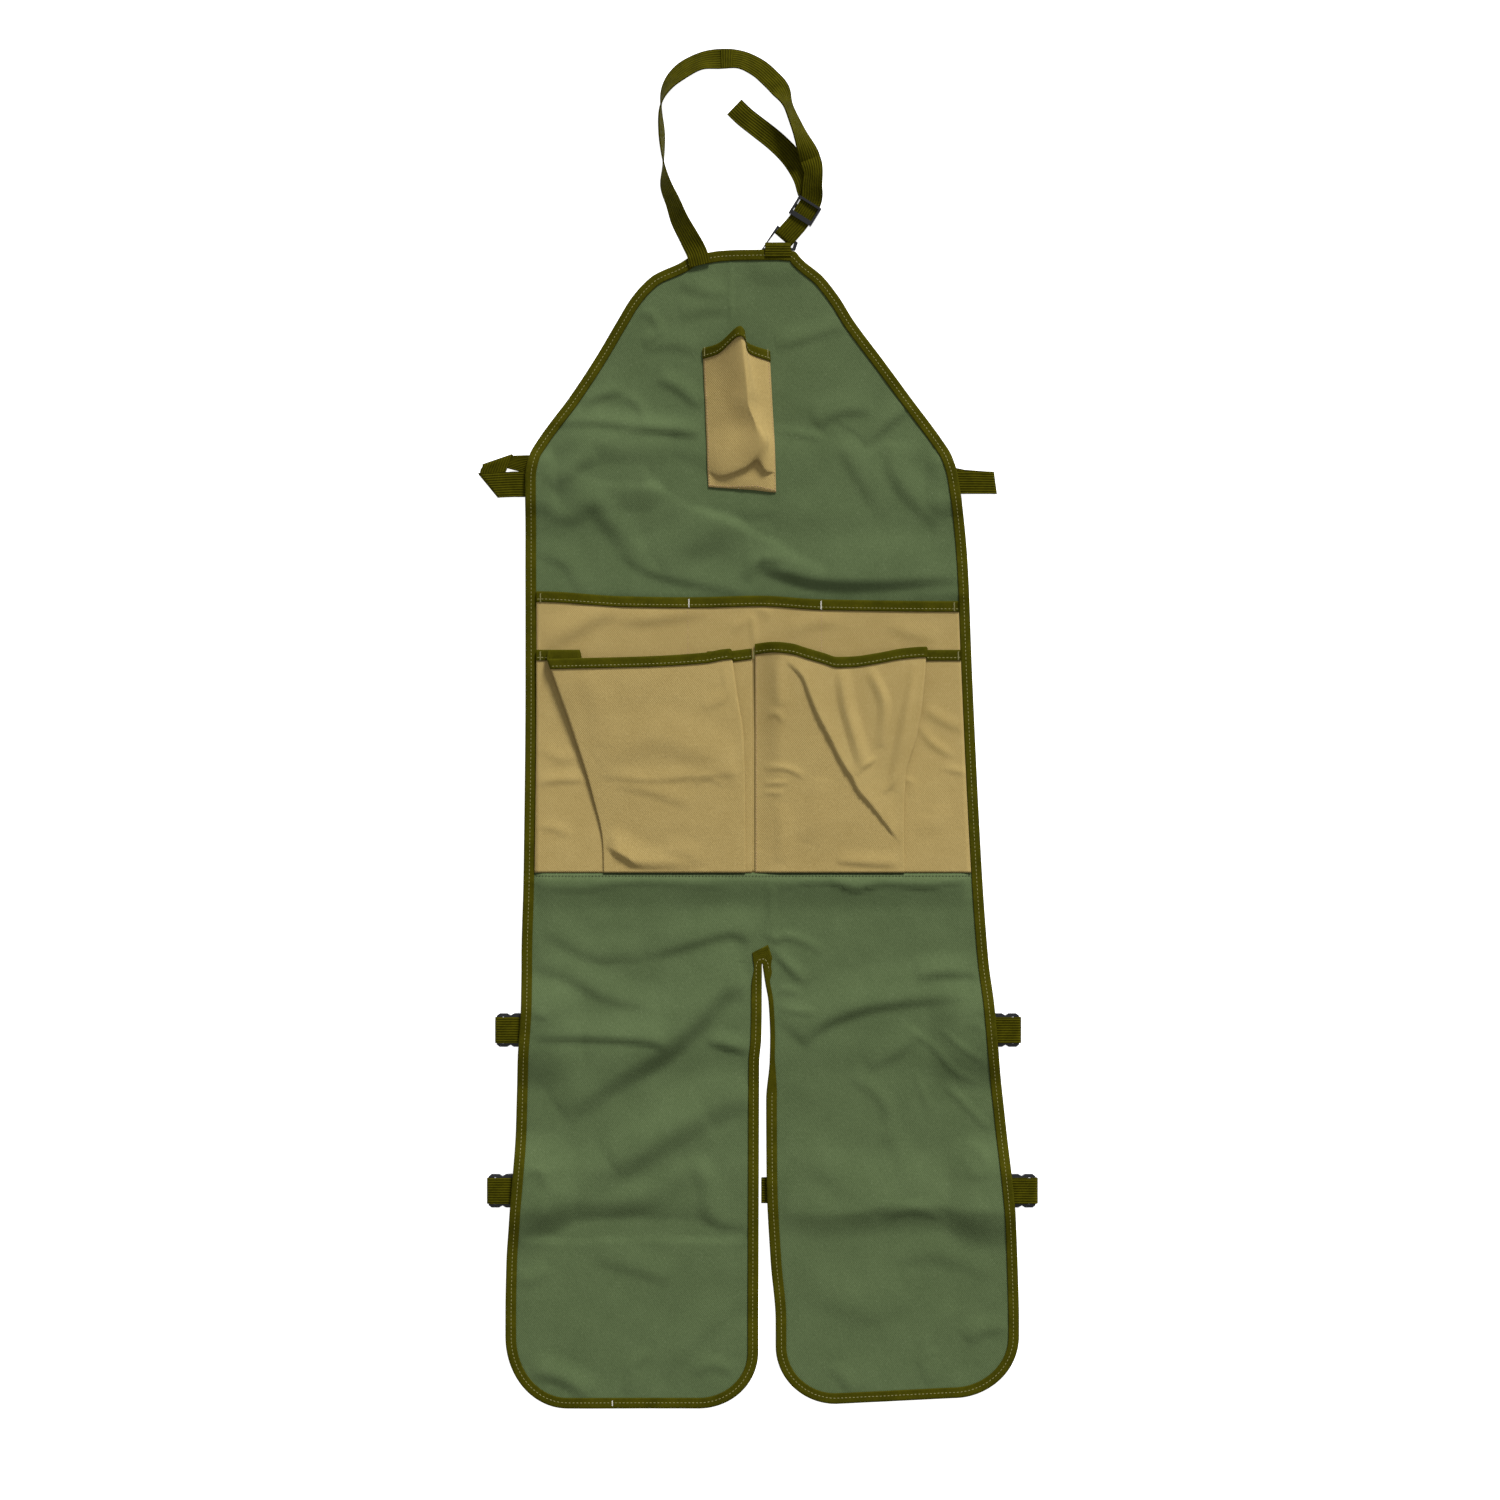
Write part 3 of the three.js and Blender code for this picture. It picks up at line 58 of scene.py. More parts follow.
# The tape's flanges as shares of its width in from the edge, and the turns of its fold
FLANGE = np.array([1.0, .86, .7, .52, .34, .18, .05])
ROUND = np.radians([60, 20, -20, -60])
BODY_STITCH_INSET = 4.2
MOUTH_STITCH_SHARE = 0.68
WEBBING = 1.5
SELVEDGE_BEVEL = 0.0005
NECK_WIDTH = 20.0
WAIST_WIDTH = 25.0
LEG_WIDTH = 25.0

# The body
BODY_LENGTH = 1110.0
HALF_WIDTH = 240.0
HALF_COLUMNS = 66
ROW_STEP = 3.5
CORNER_ROWS = 26
REST = 1.3
FACE = REST + CLOTH
POCKET_BAND = (-597.0, -337.0)
BAND_FADE = 9.0
# The roll of cloth under the pocket seam: height, rise, run, and how it fades beside the edges
SEAM_ROLL = 4.5
ROLL_RISE, ROLL_RUN = 2.5, 34.0
ROLL_INSET, ROLL_FADE = 7.0, 12.0

# Down, then the left and right edges, as shares of the length and of the half width
SIDES = [
    (.000, .246, .166), (.009, .300, .204), (.024, .410, .278), (.042, .486, .342), (.059, .534, .390),
    (.094, .630, .510), (.128, .734, .626), (.163, .854, .746), (.177, .890, .786), (.196, .906, .812),
    (.267, .906, .850), (.371, .906, .870), (.544, .914, .910), (.613, .922, .934), (.648, .922, .954),
    (.700, .936, .976), (.769, .946, 1.010), (.838, .970, 1.042), (.873, .982, 1.050), (.925, .986, 1.056),
    (1.00, .986, 1.056),
]
SPLIT = [
    (.618, .028, .042), (.632, .028, .052), (.650, .028, .066), (.680, .026, .072), (.700, .018, .070),
    (.734, .017, .056), (.803, .016, .058), (.873, .015, .074), (.925, .014, .094), (1.00, .014, .094),
]
# How far the top of the bib falls away from a level line, and how far down that fades
TOP_ARCH = [(-62, 5.5), (-48, 3.6), (-32, 1), (-10, 0), (22, 0), (34, .8), (44, 3)]
ARCH_RUN = 26.0
SPLIT_TOP = (8.4, -682.1)
SPLIT_ROUND = 3.9
SPLIT_ROUND_ROWS = np.array([.04, .15, .35, .65, 1.0])
LEGS_STRAIGHT_TO = -1043.0
# How the tape bunches at the split's top, and where and how the right leg's edge curls over it
APEX_BUNCH, APEX_NARROW, APEX_RUN = 1.1, 0.4, 14.0
CURLED_EDGE = (-690.0, -812.0)
CURL_FADES = (12.0, 42.0)
CURL_NARROW, CURL_SINK, CURL_BESIDE = 0.62, 3.0, 20.0
# Width and height of each rounded corner, and how far down its hem is
CORNERS = {
    "left_outer": (58, 67, .999), "left_inner": (56, 53, .999),
    "right_inner": (56, 54, .995), "right_outer": (62, 58, .990),
}

# What the body lies over: left, right, low, high and top of each, and how far its bump runs out
WAIST_DOWN = -222.0
LEG_DOWNS = {"upper": -747.0, "lower": -901.0}
BUMPS = [
    (-230, 230, -247, -197, 3.1, 30),
    (-167, -106, -225, -192, 7.3, 40),
    (10, 38, -16, 0, 3.1, 20),
    (-214, 2, -759, -735, 3.1, 34), (14, 214, -759, -735, 3.1, 34),
    (-218, 2, -913, -889, 3.1, 34), (14, 224, -913, -889, 3.1, 34),
    (-240, -196, -763, -731, 10.4, 44), (200, 250, -763, -731, 10.4, 44),
    (-250, -203, -917, -885, 10.4, 44), (217, 262, -917, -885, 10.4, 44),
    (-232, -202, -238, -206, 6.7, 26), (180, 214, -238, -206, 6.7, 26),
]

# How far past each of them the cloth can't sink
BUMP_EDGE = 14.0

# Long soft waves: height, wavelength and direction in degrees
WAVES = [(.55, 150, 20), (.5, 95, 75), (.4, 68, 128), (.28, 46, 52), (.2, 33, 160)]

# Folds: height, reach in shade, reach in light, softness, and the crest's path
BODY_FOLDS = [
    (2.4, 9, 26, 0.6, [(151, -147), (129, -164), (105, -185)]),
    (1.6, 8, 24, 0.8, [(60, -167), (82, -154), (115, -152)]),
    (1.4, 13, 26, 1, [(86, -182), (99, -208), (127, -253)]),
    (2.2, 14, 26, 1, [(135, -184), (137, -212), (154, -236), (180, -260)]),
    (4.6, 12, 55, 0.9, [(5, -299), (31, -306), (65, -314), (127, -315), (199, -310)]),
    (1.8, 6, 12, 0.6, [(-7, -315), (6, -297), (29, -297)]),
    (2.6, 26, 30, 1, [(-93, -297), (-62, -279), (-34, -266), (-7, -263)]),
    (1.6, 8, 26, 0.9, [(-130, -287), (-99, -306), (-65, -315), (-3, -327)]),
    (2.4, 15, 20, 1, [(-199, -248), (-175, -252), (-153, -243), (-134, -263), (-106, -297)]),
    (2.4, 14, 18, 1, [(-195, -225), (-175, -208), (-151, -196)]),
    (2.2, 8, 20, 0.8, [(-195, -164), (-165, -163), (-141, -164), (-86, -170), (-48, -173)]),
    (-2.4, 12, 40, 1, [
        (-189, -203), (-141, -215), (-96, -218), (-58, -236), (-24, -251), (10, -266), (41, -288), (75, -303),
    ]),
    (1.8, 8, 16, 0.8, [(-93, -121), (-72, -131), (-50, -149)]),
    (1.4, 8, 12, 0.9, [(-164, -147), (-144, -137), (-123, -134)]),
    (1.2, 6, 10, 0.8, [(-125, -138), (-110, -149), (-103, -167)]),
    (1.3, 9, 18, 1, [(-72, -30), (-51, -37), (-22, -41)]),
    (1.3, 12, 22, 1, [(-72, -59), (-48, -54), (-21, -52)]),
    (1.3, 8, 18, 1, [(21, -90), (51, -82), (87, -70)]),
    (1, 6, 10, 0.9, [(-111, -59), (-98, -62), (-91, -78), (-106, -88)]),
    (1.2, 10, 20, 1, [(-106, -91), (-79, -88), (-51, -95)]),
    (1.5, 40, 40, 1, [(17, -260), (65, -263), (117, -281), (168, -271)]),
    (1.2, 9, 20, 1, [(-207, -287), (-178, -301), (-166, -327)]),
    (1, 30, 60, 1, [(24, -133), (65, -150), (58, -167)]),
    (0.9, 5, 7, 0.5, [(21, -172), (48, -176), (67, -181)]),
    (0.8, 4, 5, 0.2, [(-22, -9), (-22, -40), (-21, -73)]),
    (0.8, 4, 5, 0.2, [(-7, -230), (-6, -263), (-6, -303)]),
    (1.3, 9, 14, 0.9, [(-130, -174), (-86, -170), (-51, -176)]),
    (1.8, 30, 40, 1, [(-182, -174), (-130, -191), (-79, -191)]),
    (1.6, 4, 12, 0.4, [
        (22, -611), (49, -605), (75, -604), (98, -611), (124, -606), (166, -608), (192, -604), (209, -602),
    ]),
    (1, 4, 12, 0.6, [(-210, -609), (-162, -611), (-125, -605), (-79, -606), (-27, -608)]),
    (1.2, 6, 6, 0.2, [(17, -605), (17, -630), (16, -654)]),
    (2.6, 10, 30, 0.9, [(-104, -674), (-64, -663), (-23, -652), (0, -660)]),
    (6.5, 20, 55, 0.9, [(-6, -701), (-34, -709), (-61, -739), (-91, -765), (-129, -788), (-185, -826)]),
    (2.6, 7, 26, 0.7, [(-211, -753), (-159, -753), (-102, -756), (-83, -762)]),
    (2.2, 6, 16, 0.7, [(-44, -758), (-27, -761), (-4, -767)]),
    (4.2, 24, 40, 1, [(-4, -807), (-30, -815), (-61, -830), (-95, -849), (-136, -875)]),
    (1.8, 12, 24, 1, [(-211, -685), (-181, -691), (-140, -713), (-98, -721)]),
    (1, 5, 10, 0.7, [(-211, -731), (-195, -735)]),
    (1.4, 12, 24, 1, [(-200, -648), (-155, -673), (-102, -672)]),
    (1.6, 6, 12, 0.6, [(18, -669), (34, -687), (49, -701)]),
    (1.4, 5, 9, 0.5, [(9, -653), (22, -660), (36, -658), (68, -672)]),
    (1, 4, 8, 0.6, [(24, -709), (45, -711)]),
    (1, 4, 8, 0.6, [(24, -727), (60, -731)]),
    (2.4, 9, 22, 0.8, [(156, -695), (181, -691), (217, -692)]),
    (3.6, 12, 40, 0.9, [(45, -759), (62, -741), (98, -725), (143, -717), (205, -711)]),
    (0.9, 3.5, 6, 0.5, [(145, -745), (173, -764), (192, -786), (217, -799)]),
    (0.9, 3.5, 6, 0.5, [(179, -745), (196, -761), (224, -780)]),
    (0.8, 3.5, 6, 0.6, [(155, -786), (160, -803), (170, -826)]),
    (0.9, 9, 12, 1, [(96, -790), (126, -818), (132, -856)]),
    (0.9, 5, 8, 0.7, [(181, -798), (200, -816), (228, -845)]),
    (0.7, 4, 5, 0.6, [(205, -745), (215, -741), (220, -754), (213, -766)]),
    (1.5, 10, 26, 1, [(109, -781), (139, -766), (158, -747)]),
    (3.4, 26, 34, 1, [(-42, -836), (-91, -858), (-140, -879), (-196, -906)]),
    (-3.4, 9, 34, 0.4, [(-223, -946), (-178, -944), (-129, -941), (-102, -941), (-57, -943), (-6, -943)]),
    (2.2, 22, 26, 1, [(-221, -919), (-166, -911), (-110, -906), (-64, -876)]),
    (1.8, 14, 18, 0.9, [(-64, -870), (-45, -891), (-42, -921), (-27, -933), (-6, -930)]),
    (1.2, 12, 24, 1, [(-153, -964), (-110, -975), (-76, -986)]),
    (0.9, 6, 8, 0.8, [(-215, -881), (-202, -883), (-204, -898)]),
    (1.2, 12, 14, 0.9, [(-226, -985), (-211, -985), (-198, -974)]),
    (2.2, 12, 20, 0.8, [(-213, -1076), (-196, -1076), (-178, -1083), (-155, -1098)]),
    (0.9, 7, 12, 0.9, [(-123, -1095), (-114, -1068), (-98, -1057)]),
    (1, 8, 12, 0.9, [(-57, -1076), (-38, -1068), (-19, -1076)]),
    (0.7, 9, 30, 1, [(-87, -1076), (-49, -1038), (-8, -1000)]),
    (3.6, 26, 50, 0.35, [
        (28, -923), (68, -924), (105, -921), (128, -915), (177, -915), (200, -920), (241, -919),
    ]),
    (1.2, 6, 10, 0.7, [(124, -924), (154, -919), (181, -925)]),
    (1.6, 11, 18, 0.9, [(205, -1046), (218, -1035), (243, -1030)]),
    (0.8, 9, 16, 1, [(75, -1070), (88, -1083), (96, -1095)]),
    (0.8, 8, 16, 1, [(169, -1087), (162, -1061), (177, -1030), (192, -1012)]),
    (1, 14, 24, 1, [(132, -966), (181, -962), (237, -983)]),
    (0.8, 7, 9, 0.9, [(203, -857), (218, -864), (222, -883), (205, -887)]),
    (0.9, 20, 40, 1, [(49, -993), (109, -1015), (147, -1000)]),
    (0.9, 20, 40, 1, [(30, -857), (75, -883), (109, -910)]),
    (0.7, 14, 20, 1, [(120, -838), (143, -868), (151, -906)]),
]
UPPER_FOLDS = [
    (2.2, 12, 22, 1, [(-202, -376), (-176, -364), (-150, -350), (-128, -345)]),
    (1.6, 9, 18, 1, [(-128, -354), (-95, -352), (-44, -345)]),
    (1.2, 4, 8, 0.5, [(-21, -364), (-9, -357), (-1, -350)]),
    (1.4, 4, 6, 0.4, [(-1, -348), (-1, -360), (1, -378)]),
    (1.2, 5, 8, 0.5, [(1, -346), (9, -345), (16, -352)]),
    (0.9, 8, 16, 1, [(34, -367), (59, -357), (85, -356)]),
    (0.8, 8, 16, 1, [(127, -357), (150, -367), (179, -373)]),
]
LEFT_FRONT_FOLDS = [
    (1.6, 22, 34, 1, [(-148, -493), (-118, -472), (-86, -467), (-50, -480), (-18, -496), (5, -496)]),
    (1, 6, 14, 0.8, [(-150, -502), (-118, -505), (-86, -506), (-44, -502), (5, -499)]),
    (0.9, 9, 16, 1, [(-131, -510), (-95, -518), (-57, -531)]),
    (0.8, 10, 16, 1, [(-86, -573), (-63, -576), (-44, -589)]),
    (1.2, 7, 14, 0.9, [(-26, -394), (-25, -412), (-18, -431)]),
    (0.7, 7, 14, 0.9, [(-49, -438), (-31, -431), (-18, -422)]),
    (0.9, 16, 22, 1, [(-160, -405), (-150, -434), (-147, -476)]),
    (0.7, 5, 9, 0.8, [(-57, -510), (-44, -505), (-28, -512)]),
    (4.2, 5, 26, 0.4, [(-146, -566), (-140, -571), (-121, -582), (-106, -590), (-53, -593)]),
]
LEFT_GUSSET_FOLDS = [
    (1.3, 6, 12, 0.7, [(-206, -510), (-186, -507), (-158, -507)]),
    (0.8, 6, 10, 0.8, [(-206, -552), (-189, -554), (-176, -562)]),
    (0.7, 8, 12, 1, [(-205, -476), (-186, -486), (-166, -483)]),
]
RIGHT_FRONT_FOLDS = [
    (3.6, 1.4, 34, 0.2, [
        (31, -394), (41, -402), (48, -411), (54, -427), (62, -446), (72, -465), (85, -491),
        (95, -506), (100, -517),
        (114, -533), (131, -555), (147, -575),
    ]),
    (3.4, 9, 12, 1, [(84, -401), (88, -434), (98, -470), (105, -496)]),
    (3.4, 10, 12, 1, [(159, -394), (151, -431), (143, -470), (135, -518)]),
    (2.4, 9, 8, 1, [(111, -401), (125, -434), (122, -476)]),
    (1.2, 4, 7, 0.5, [(98, -502), (108, -493), (118, -486)]),
    (1.2, 4, 7, 0.5, [(125, -520), (134, -509), (143, -491)]),
    (1.2, 4, 8, 0.5, [(10, -496), (27, -496), (38, -499), (48, -505)]),
    (0.9, 3, 5, 0.5, [(10, -511), (34, -510)]),
    (0.8, 3, 5, 0.5, [(10, -520), (29, -520)]),
    (1, 5, 8, 0.7, [(14, -446), (22, -444), (29, -452)]),
    (0.9, 8, 12, 1, [(23, -394), (23, -422), (27, -438)]),
    (0.9, 14, 20, 1, [(50, -567), (59, -538), (63, -505)]),
    (1.8, 5, 16, 0.6, [(79, -585), (111, -588), (146, -590)]),
    (0.9, 9, 14, 1, [(27, -531), (27, -564), (24, -586)]),
]
RIGHT_GUSSET_FOLDS = [
    (1.4, 5, 9, 0.7, [(159, -455), (171, -472), (190, -485)]),
    (1.1, 7, 12, 0.9, [(164, -438), (179, -449), (200, -459)]),
    (0.9, 5, 8, 0.7, [(183, -496), (204, -501)]),
    (0.9, 4, 6, 0.7, [(143, -507), (152, -510), (151, -523)]),
    (0.6, 14, 20, 1, [(156, -557), (175, -547), (174, -531)]),
]
# Where the light comes from across the floor, and how much higher than written the body's folds are
LIGHT_FROM = (0.35, 0.94)
FOLD_GAIN = 1.5

# The studio: where the softbox is, its strength and softness in degrees, and the room's own light
KEY_FROM = (0.35, 0.94, 0.55)
KEY_LIGHT = 4.5
KEY_SOFTNESS = 16
WORLD_LIGHT = 0.42
FLOOR_GLOW, FLOOR_HALF = 0.85, 6.0
CAMERA_AT = (-0.0077, -0.0212, 4.0)
CAMERA_LENS, CAMERA_FILM = 100, 36

# Straps: how far a leg's tab reaches past the edge, and sections as places in from the outer end and up
TAB_REACH = 23.2
TAB_PATH = [
    (31.2, 8.05), (16, 8.05), (3, 8.05), (.2, 7.6), (-1.05, 6), (-1.05, 3), (.2, 1.1), (2.4, .75), (5, .75),
]
HOOK_PATH = [(11, 6.2), (3, 6.2), (.9, 4.9), (.75, 3.4), (1.4, 1.4), (4, .75), (40, .75)]
RING_TAB_PATH = [(-8, .75), (0, .75), (5, .75), (7.2, 1.6), (7.6, 3.6), (6.6, 6.0), (4, 7.0), (-6, 6.4)]
TAIL_LIFT = 0.2
JOIN_SPAN, JOIN_THICK = (720, 733), 1.2

# The waist straps beside the body: both edges in strap widths from the body's edge, and the height
LEFT_WAIST_ROWS = [
    ((.55, .42), (.55, -.56), 4.35), ((0, .42), (0, -.56), 4.35), ((-.5, .42), (-.5, -.56), 4.35),
    ((-1.80, .35), (-1.04, -.58), 4.35), ((-1.86, .36), (-1.10, -.57), 3.45), ((-1.80, .37),
    (-1.04, -.55), 2.55),
    ((-1.78, .50), (-.84, .30), 2.55), ((-1.70, .62), (-.60, 1.00), 2.55), ((-1.70, .70), (-.56, 1.09), 1.7),
    ((-1.66, .66), (-.54, 1.04), .75), ((-.92, .60), (-.34, 1.05), .75), ((-.19, .40), (0, 1.06), .75),
    ((.6, .04), (.6, 1.04), .75),
]
RIGHT_WAIST_ROWS = [
    ((-.6, -.44), (-.6, .44), 4.35), ((0, -.44), (0, .44), 4.35), ((.7, -.44), (.7, .44), 4.35),
    ((1.46, -.44), (1.34, .42), 4.35), ((1.51, -.44), (1.39, .42), 2.6), ((1.46, -.44), (1.34, .42), .75),
    ((.3, -.38), (.3, .5), .75),
]
# Behind the body: both edges up from the strap's line, the height, and how far in the right one is straight
BEHIND_LOW, BEHIND_HIGH, BEHIND_HEIGHT, RIGHT_STRAIGHT_AT = 1.0, 26.0, 0.75, 60.0

# Weaves: the repeat of each in metres, and how steep the twill's lines are
TWILL_PITCH, TWILL_SLOPE = 0.0019, 0.8
RIB_PITCH, PICK_PITCH, WEAVE_PITCH = 0.0024, 0.0012, 0.0013

# Stitches: from one to the next, then length, width and height
LONG_STITCH = (3.7, (2.5, .75, .55))
TAN_STITCH = (3.0, (2.2, .7, .5))
SEAM_STITCH = (3.2, (2.3, .8, .5))
TACK_STITCH = (.62, (1.3, .55, .5))
UP = np.array([0.0, 0.0, 1.0])

# Bartacks by their place in the photograph's frame, the sheet under each, and its thread
BARTACKS = [
    (689, 603.5, "upper", "white"), (821, 605.5, "upper", "white"), (540.7, 598, "upper", "green"),
    (954, 607, "upper", "green"), (540.6, 656, "left", "green"), (753.6, 655, "left", "green"),
    (958, 656, "right", "green"),
]
TACK_POINTS, TACK_LIFT = 13, 1.1
HEM_JOIN = (612.5, 1402.0)
UPPER_SEAMS = (688, 821.4)

# Pockets
HIDDEN, LEFT_SIDE, FRONT, RIGHT_SIDE = range(4)
GUSSET_COLUMNS, BACK_COLUMNS, FRONT_COLUMNS, LOWER_ROWS = 22, 7, 118, 112
PLEAT_PITCH = (3.9, 1.05)
LEFT_SWELL, RIGHT_SWELL = 2.6, 3.4
UPPER_MOUTH = -336.0
LOWER_MOUTH = -388.0
SEAM = -596.0
POCKET_INSET = 9.3
CENTRE_SEAM = 1.5
UPPER_LEVEL = FACE + 0.8
# Mouth lines: across, then up from the mouth
UPPER_MOUTH_LINE = [
    (-215, 8.3), (-204, 8.3), (-127, 3.6), (-62, 2.6), (6, 4.1), (65, .6), (194, -1.1), (215, -1.1),
]
LEFT_MOUTH_LINE = [(-210, -5), (-170, -4), (-104, -2.3), (-47, 1.3), (-28, 4.7), (-20, 5.3), (0, 5.5)]
RIGHT_MOUTH_LINE = [
    (0, 9.7), (19, 11.7), (36, 10.2), (51, 5.7), (68, .7), (80, -2.8), (96, -2.3), (117, .7), (145, 5.7),
    (166, 7.2), (210, 8),
]
# Pleats: share of the height down, then the front's fold and the fold under it as shares of the width
LEFT_PLEAT = [
    (0, .064, .187), (.17, .119, .225), (.37, .186, .289), (.62, .262, .365), (.88, .317, .427),
    (1, .320, .430),
]
MIDDLE_PLEAT = [(0, .885, .800), (.17, .912, .840), (.37, .945, .885), (.62, .955, .915), (1, .960, .920)]
RIGHT_PLEAT = [
    (0, .824, .700), (.17, .803, .685), (.37, .765, .650), (.55, .710, .595), (.75, .695, .580),
    (1, .690, .570),
]
# The chest pocket's rows down its height: six places across in the photograph's frame, each with its height
CHEST_ROWS = [
    [(703.2, 350.5, 0), (720, 345.5, 9), (737, 331.5, 21), (743, 333, 21), (747, 345.5, 12), (769.5, 353, 0)],
    [(703.5, 361, 0), (720, 356, 9), (737.5, 341, 22), (744, 343, 22), (749, 357, 11), (770, 362, 0)],
    [(704.5, 389, 0), (722, 388, 8.5), (743, 389, 20), (749, 389, 20), (758, 391, 7), (771.5, 391, 0)],
    [(705.5, 407, 0), (724, 407, 8), (744.5, 407, 18), (750.5, 407, 18), (760, 408, 6), (772.5, 409, 0)],
    [(706, 425, 0), (726, 426, 7.5), (751, 425.6, 15), (756.5, 425, 15), (765, 427, 5), (773.5, 427, 0)],
    [(706.8, 443, 0), (728, 445, 8), (750, 446, 11), (763.5, 443, 12.5), (769, 446, 5), (774.5, 445, 0)],
    [(707.5, 468, 0), (722, 474, 5), (745, 467.5, 6.5), (757.5, 459.5, 8), (766, 470, 5.5), (775.3, 470, 0)],
    [(707.8, 474, 0), (722, 478, 2), (745, 470, 2.2), (757, 463, 2.5), (765, 473, 2), (775.5, 476, 0)],
    [(708.5, 487.6, 0), (722, 488.5, .3), (745, 490, .3), (757, 491, .3), (769, 492.5, .3), (776, 493, 0)],
]

# The neck strap: share of the loop's width over and height up, lift, and roll in degrees
LOOP_LEFT, LOOP_WIDTH, LOOP_HEIGHT = -91.0, 156.0, 194.0
NECK_ROUTE = [
    (.255, -.070, 5.2, 0), (.235, -.010, 5.2, 0), (.190, .060, 3, 22), (.130, .150, 1.5, 35),
    (.090, .235, 1, 48),
    (.045, .325, .6, 60), (.030, .430, .4, 88), (.020, .580, .4, 104), (.015, .710, .4, 90),
    (.055, .810, .6, 58),
    (.140, .885, 1, 34), (.255, .935, 1, 30), (.375, .950, 1, 12), (.500, .945, 1, 24), (.610, .905, 1, 20),
    (.690, .850, 1, 18), (.745, .800, 1.2, 22), (.790, .725, 1.8, 60), (.835, .640, 2.5, 58),
    (.880, .555, 3.5, 44),
    (.925, .470, 4.5, 8), (.950, .395, 5.2, -28), (.945, .320, 5, -22),
]
TAIL_ROUTE = [(.915, .300), (.885, .375), (.815, .465), (.725, .540), (.625, .605), (.530, .665), (.465, .715)]
SLIDER_AT, SLIDER_TURN, SLIDER_HALF = (.900, .197), -122, 11.0
RING_AT, RING_TURN, RING_REACH = (.775, .067), -131, 8.0
HIGH_LAYER = {"slider": 4.3, "ring": 4.7}
LOW_LAYER = {"slider": 2.5, "ring": 0.0}
RING_TAB = (11.0, 36.0)
JOIN_LIFT = 1.6


# Reading tables and curves
def smooth(t):
    t = np.clip(t, 0, 1)
    return t * t * (3 - 2 * t)


def mix(a, b, t):
    return a + (b - a) * t


def curve(xs, ys):
    """A smooth line through points that never overshoots between them."""
    xs, ys = np.array(xs, float), np.array(ys, float)
    steps = np.diff(xs)
    slopes = np.diff(ys) / steps
    before, after = slopes[:-1], slopes[1:]
    inner = np.where(before * after > 0, 2 * before * after / (before + after + 1e-12), 0)
    tangents = np.concatenate([[slopes[0]], inner, [slopes[-1]]])

    def read(x):
        x = np.clip(np.asarray(x, float), xs[0], xs[-1])
        i = np.clip(np.searchsorted(xs, x, side="right") - 1, 0, len(steps) - 1)
        t = (x - xs[i]) / steps[i]
        return (
            ys[i] * (1 + 2 * t) * (1 - t) ** 2 + ys[i + 1] * t * t * (3 - 2 * t)
            + steps[i] * (tangents[i] * t * (1 - t) ** 2 + tangents[i + 1] * t * t * (t - 1))
        )

    return read


def columns_of(rows):
    return [list(column) for column in zip(*rows)]


def through(points, count):
    """A smooth path through points in order, as count places spread evenly in parameter."""
    points = np.array(points, float)
    padded = np.vstack([2 * points[0] - points[1], points, 2 * points[-1] - points[-2]])
    t = np.linspace(0, len(points) - 1, count)
    i = np.minimum(t.astype(int), len(points) - 2)
    f = (t - i)[:, None]
    p0, p1, p2, p3 = (padded[i + k] for k in range(4))
    square = 2 * p0 - 5 * p1 + 4 * p2 - p3
    cube = 3 * p1 - p0 - 3 * p2 + p3
    return 0.5 * (2 * p1 + (p2 - p0) * f + square * f ** 2 + cube * f ** 3)


def along(path, step, closed=False):
    """The path again at even steps of its length, with the length at each place."""
    path = np.asarray(path, float)
    if closed:
        path = np.vstack([path, path[:1]])
    lengths = np.concatenate([[0], np.cumsum(np.linalg.norm(np.diff(path[:, :3], axis=0), axis=1))])
    count = max(int(round(lengths[-1] / step)), 2)
    at = np.linspace(0, lengths[-1], count + 1)
    if closed:
        at = at[:-1]
    return np.stack([np.interp(at, lengths, path[:, k]) for k in range(path.shape[1])], axis=1), at


def unit(vectors):
    return vectors / np.maximum(np.linalg.norm(vectors, axis=-1, keepdims=True), 1e-9)


def photo(px, py):
    return (px - 753.5) * 0.96, -(py - 252) * 0.961


def two_curves(table):
    """Curves for the second and third columns of a table over its first."""
    over, first, second = columns_of(table)
    return curve(over, first), curve(over, second)


left_share, right_share = two_curves(SIDES)
split_left_share, split_right_share = two_curves(SPLIT)


def left_edge(y):
    return -HALF_WIDTH * left_share(-y / BODY_LENGTH)


def right_edge(y):
    return HALF_WIDTH * right_share(-y / BODY_LENGTH)


def split_edge(share):
    def read(y):
        down = np.clip((SPLIT_TOP[1] - y) / SPLIT_ROUND, 0, 1)
        opened = np.sqrt(np.clip(1 - (1 - down) ** 2, 0, 1))
        return mix(SPLIT_TOP[0], HALF_WIDTH * share(-y / BODY_LENGTH), opened)
    return read


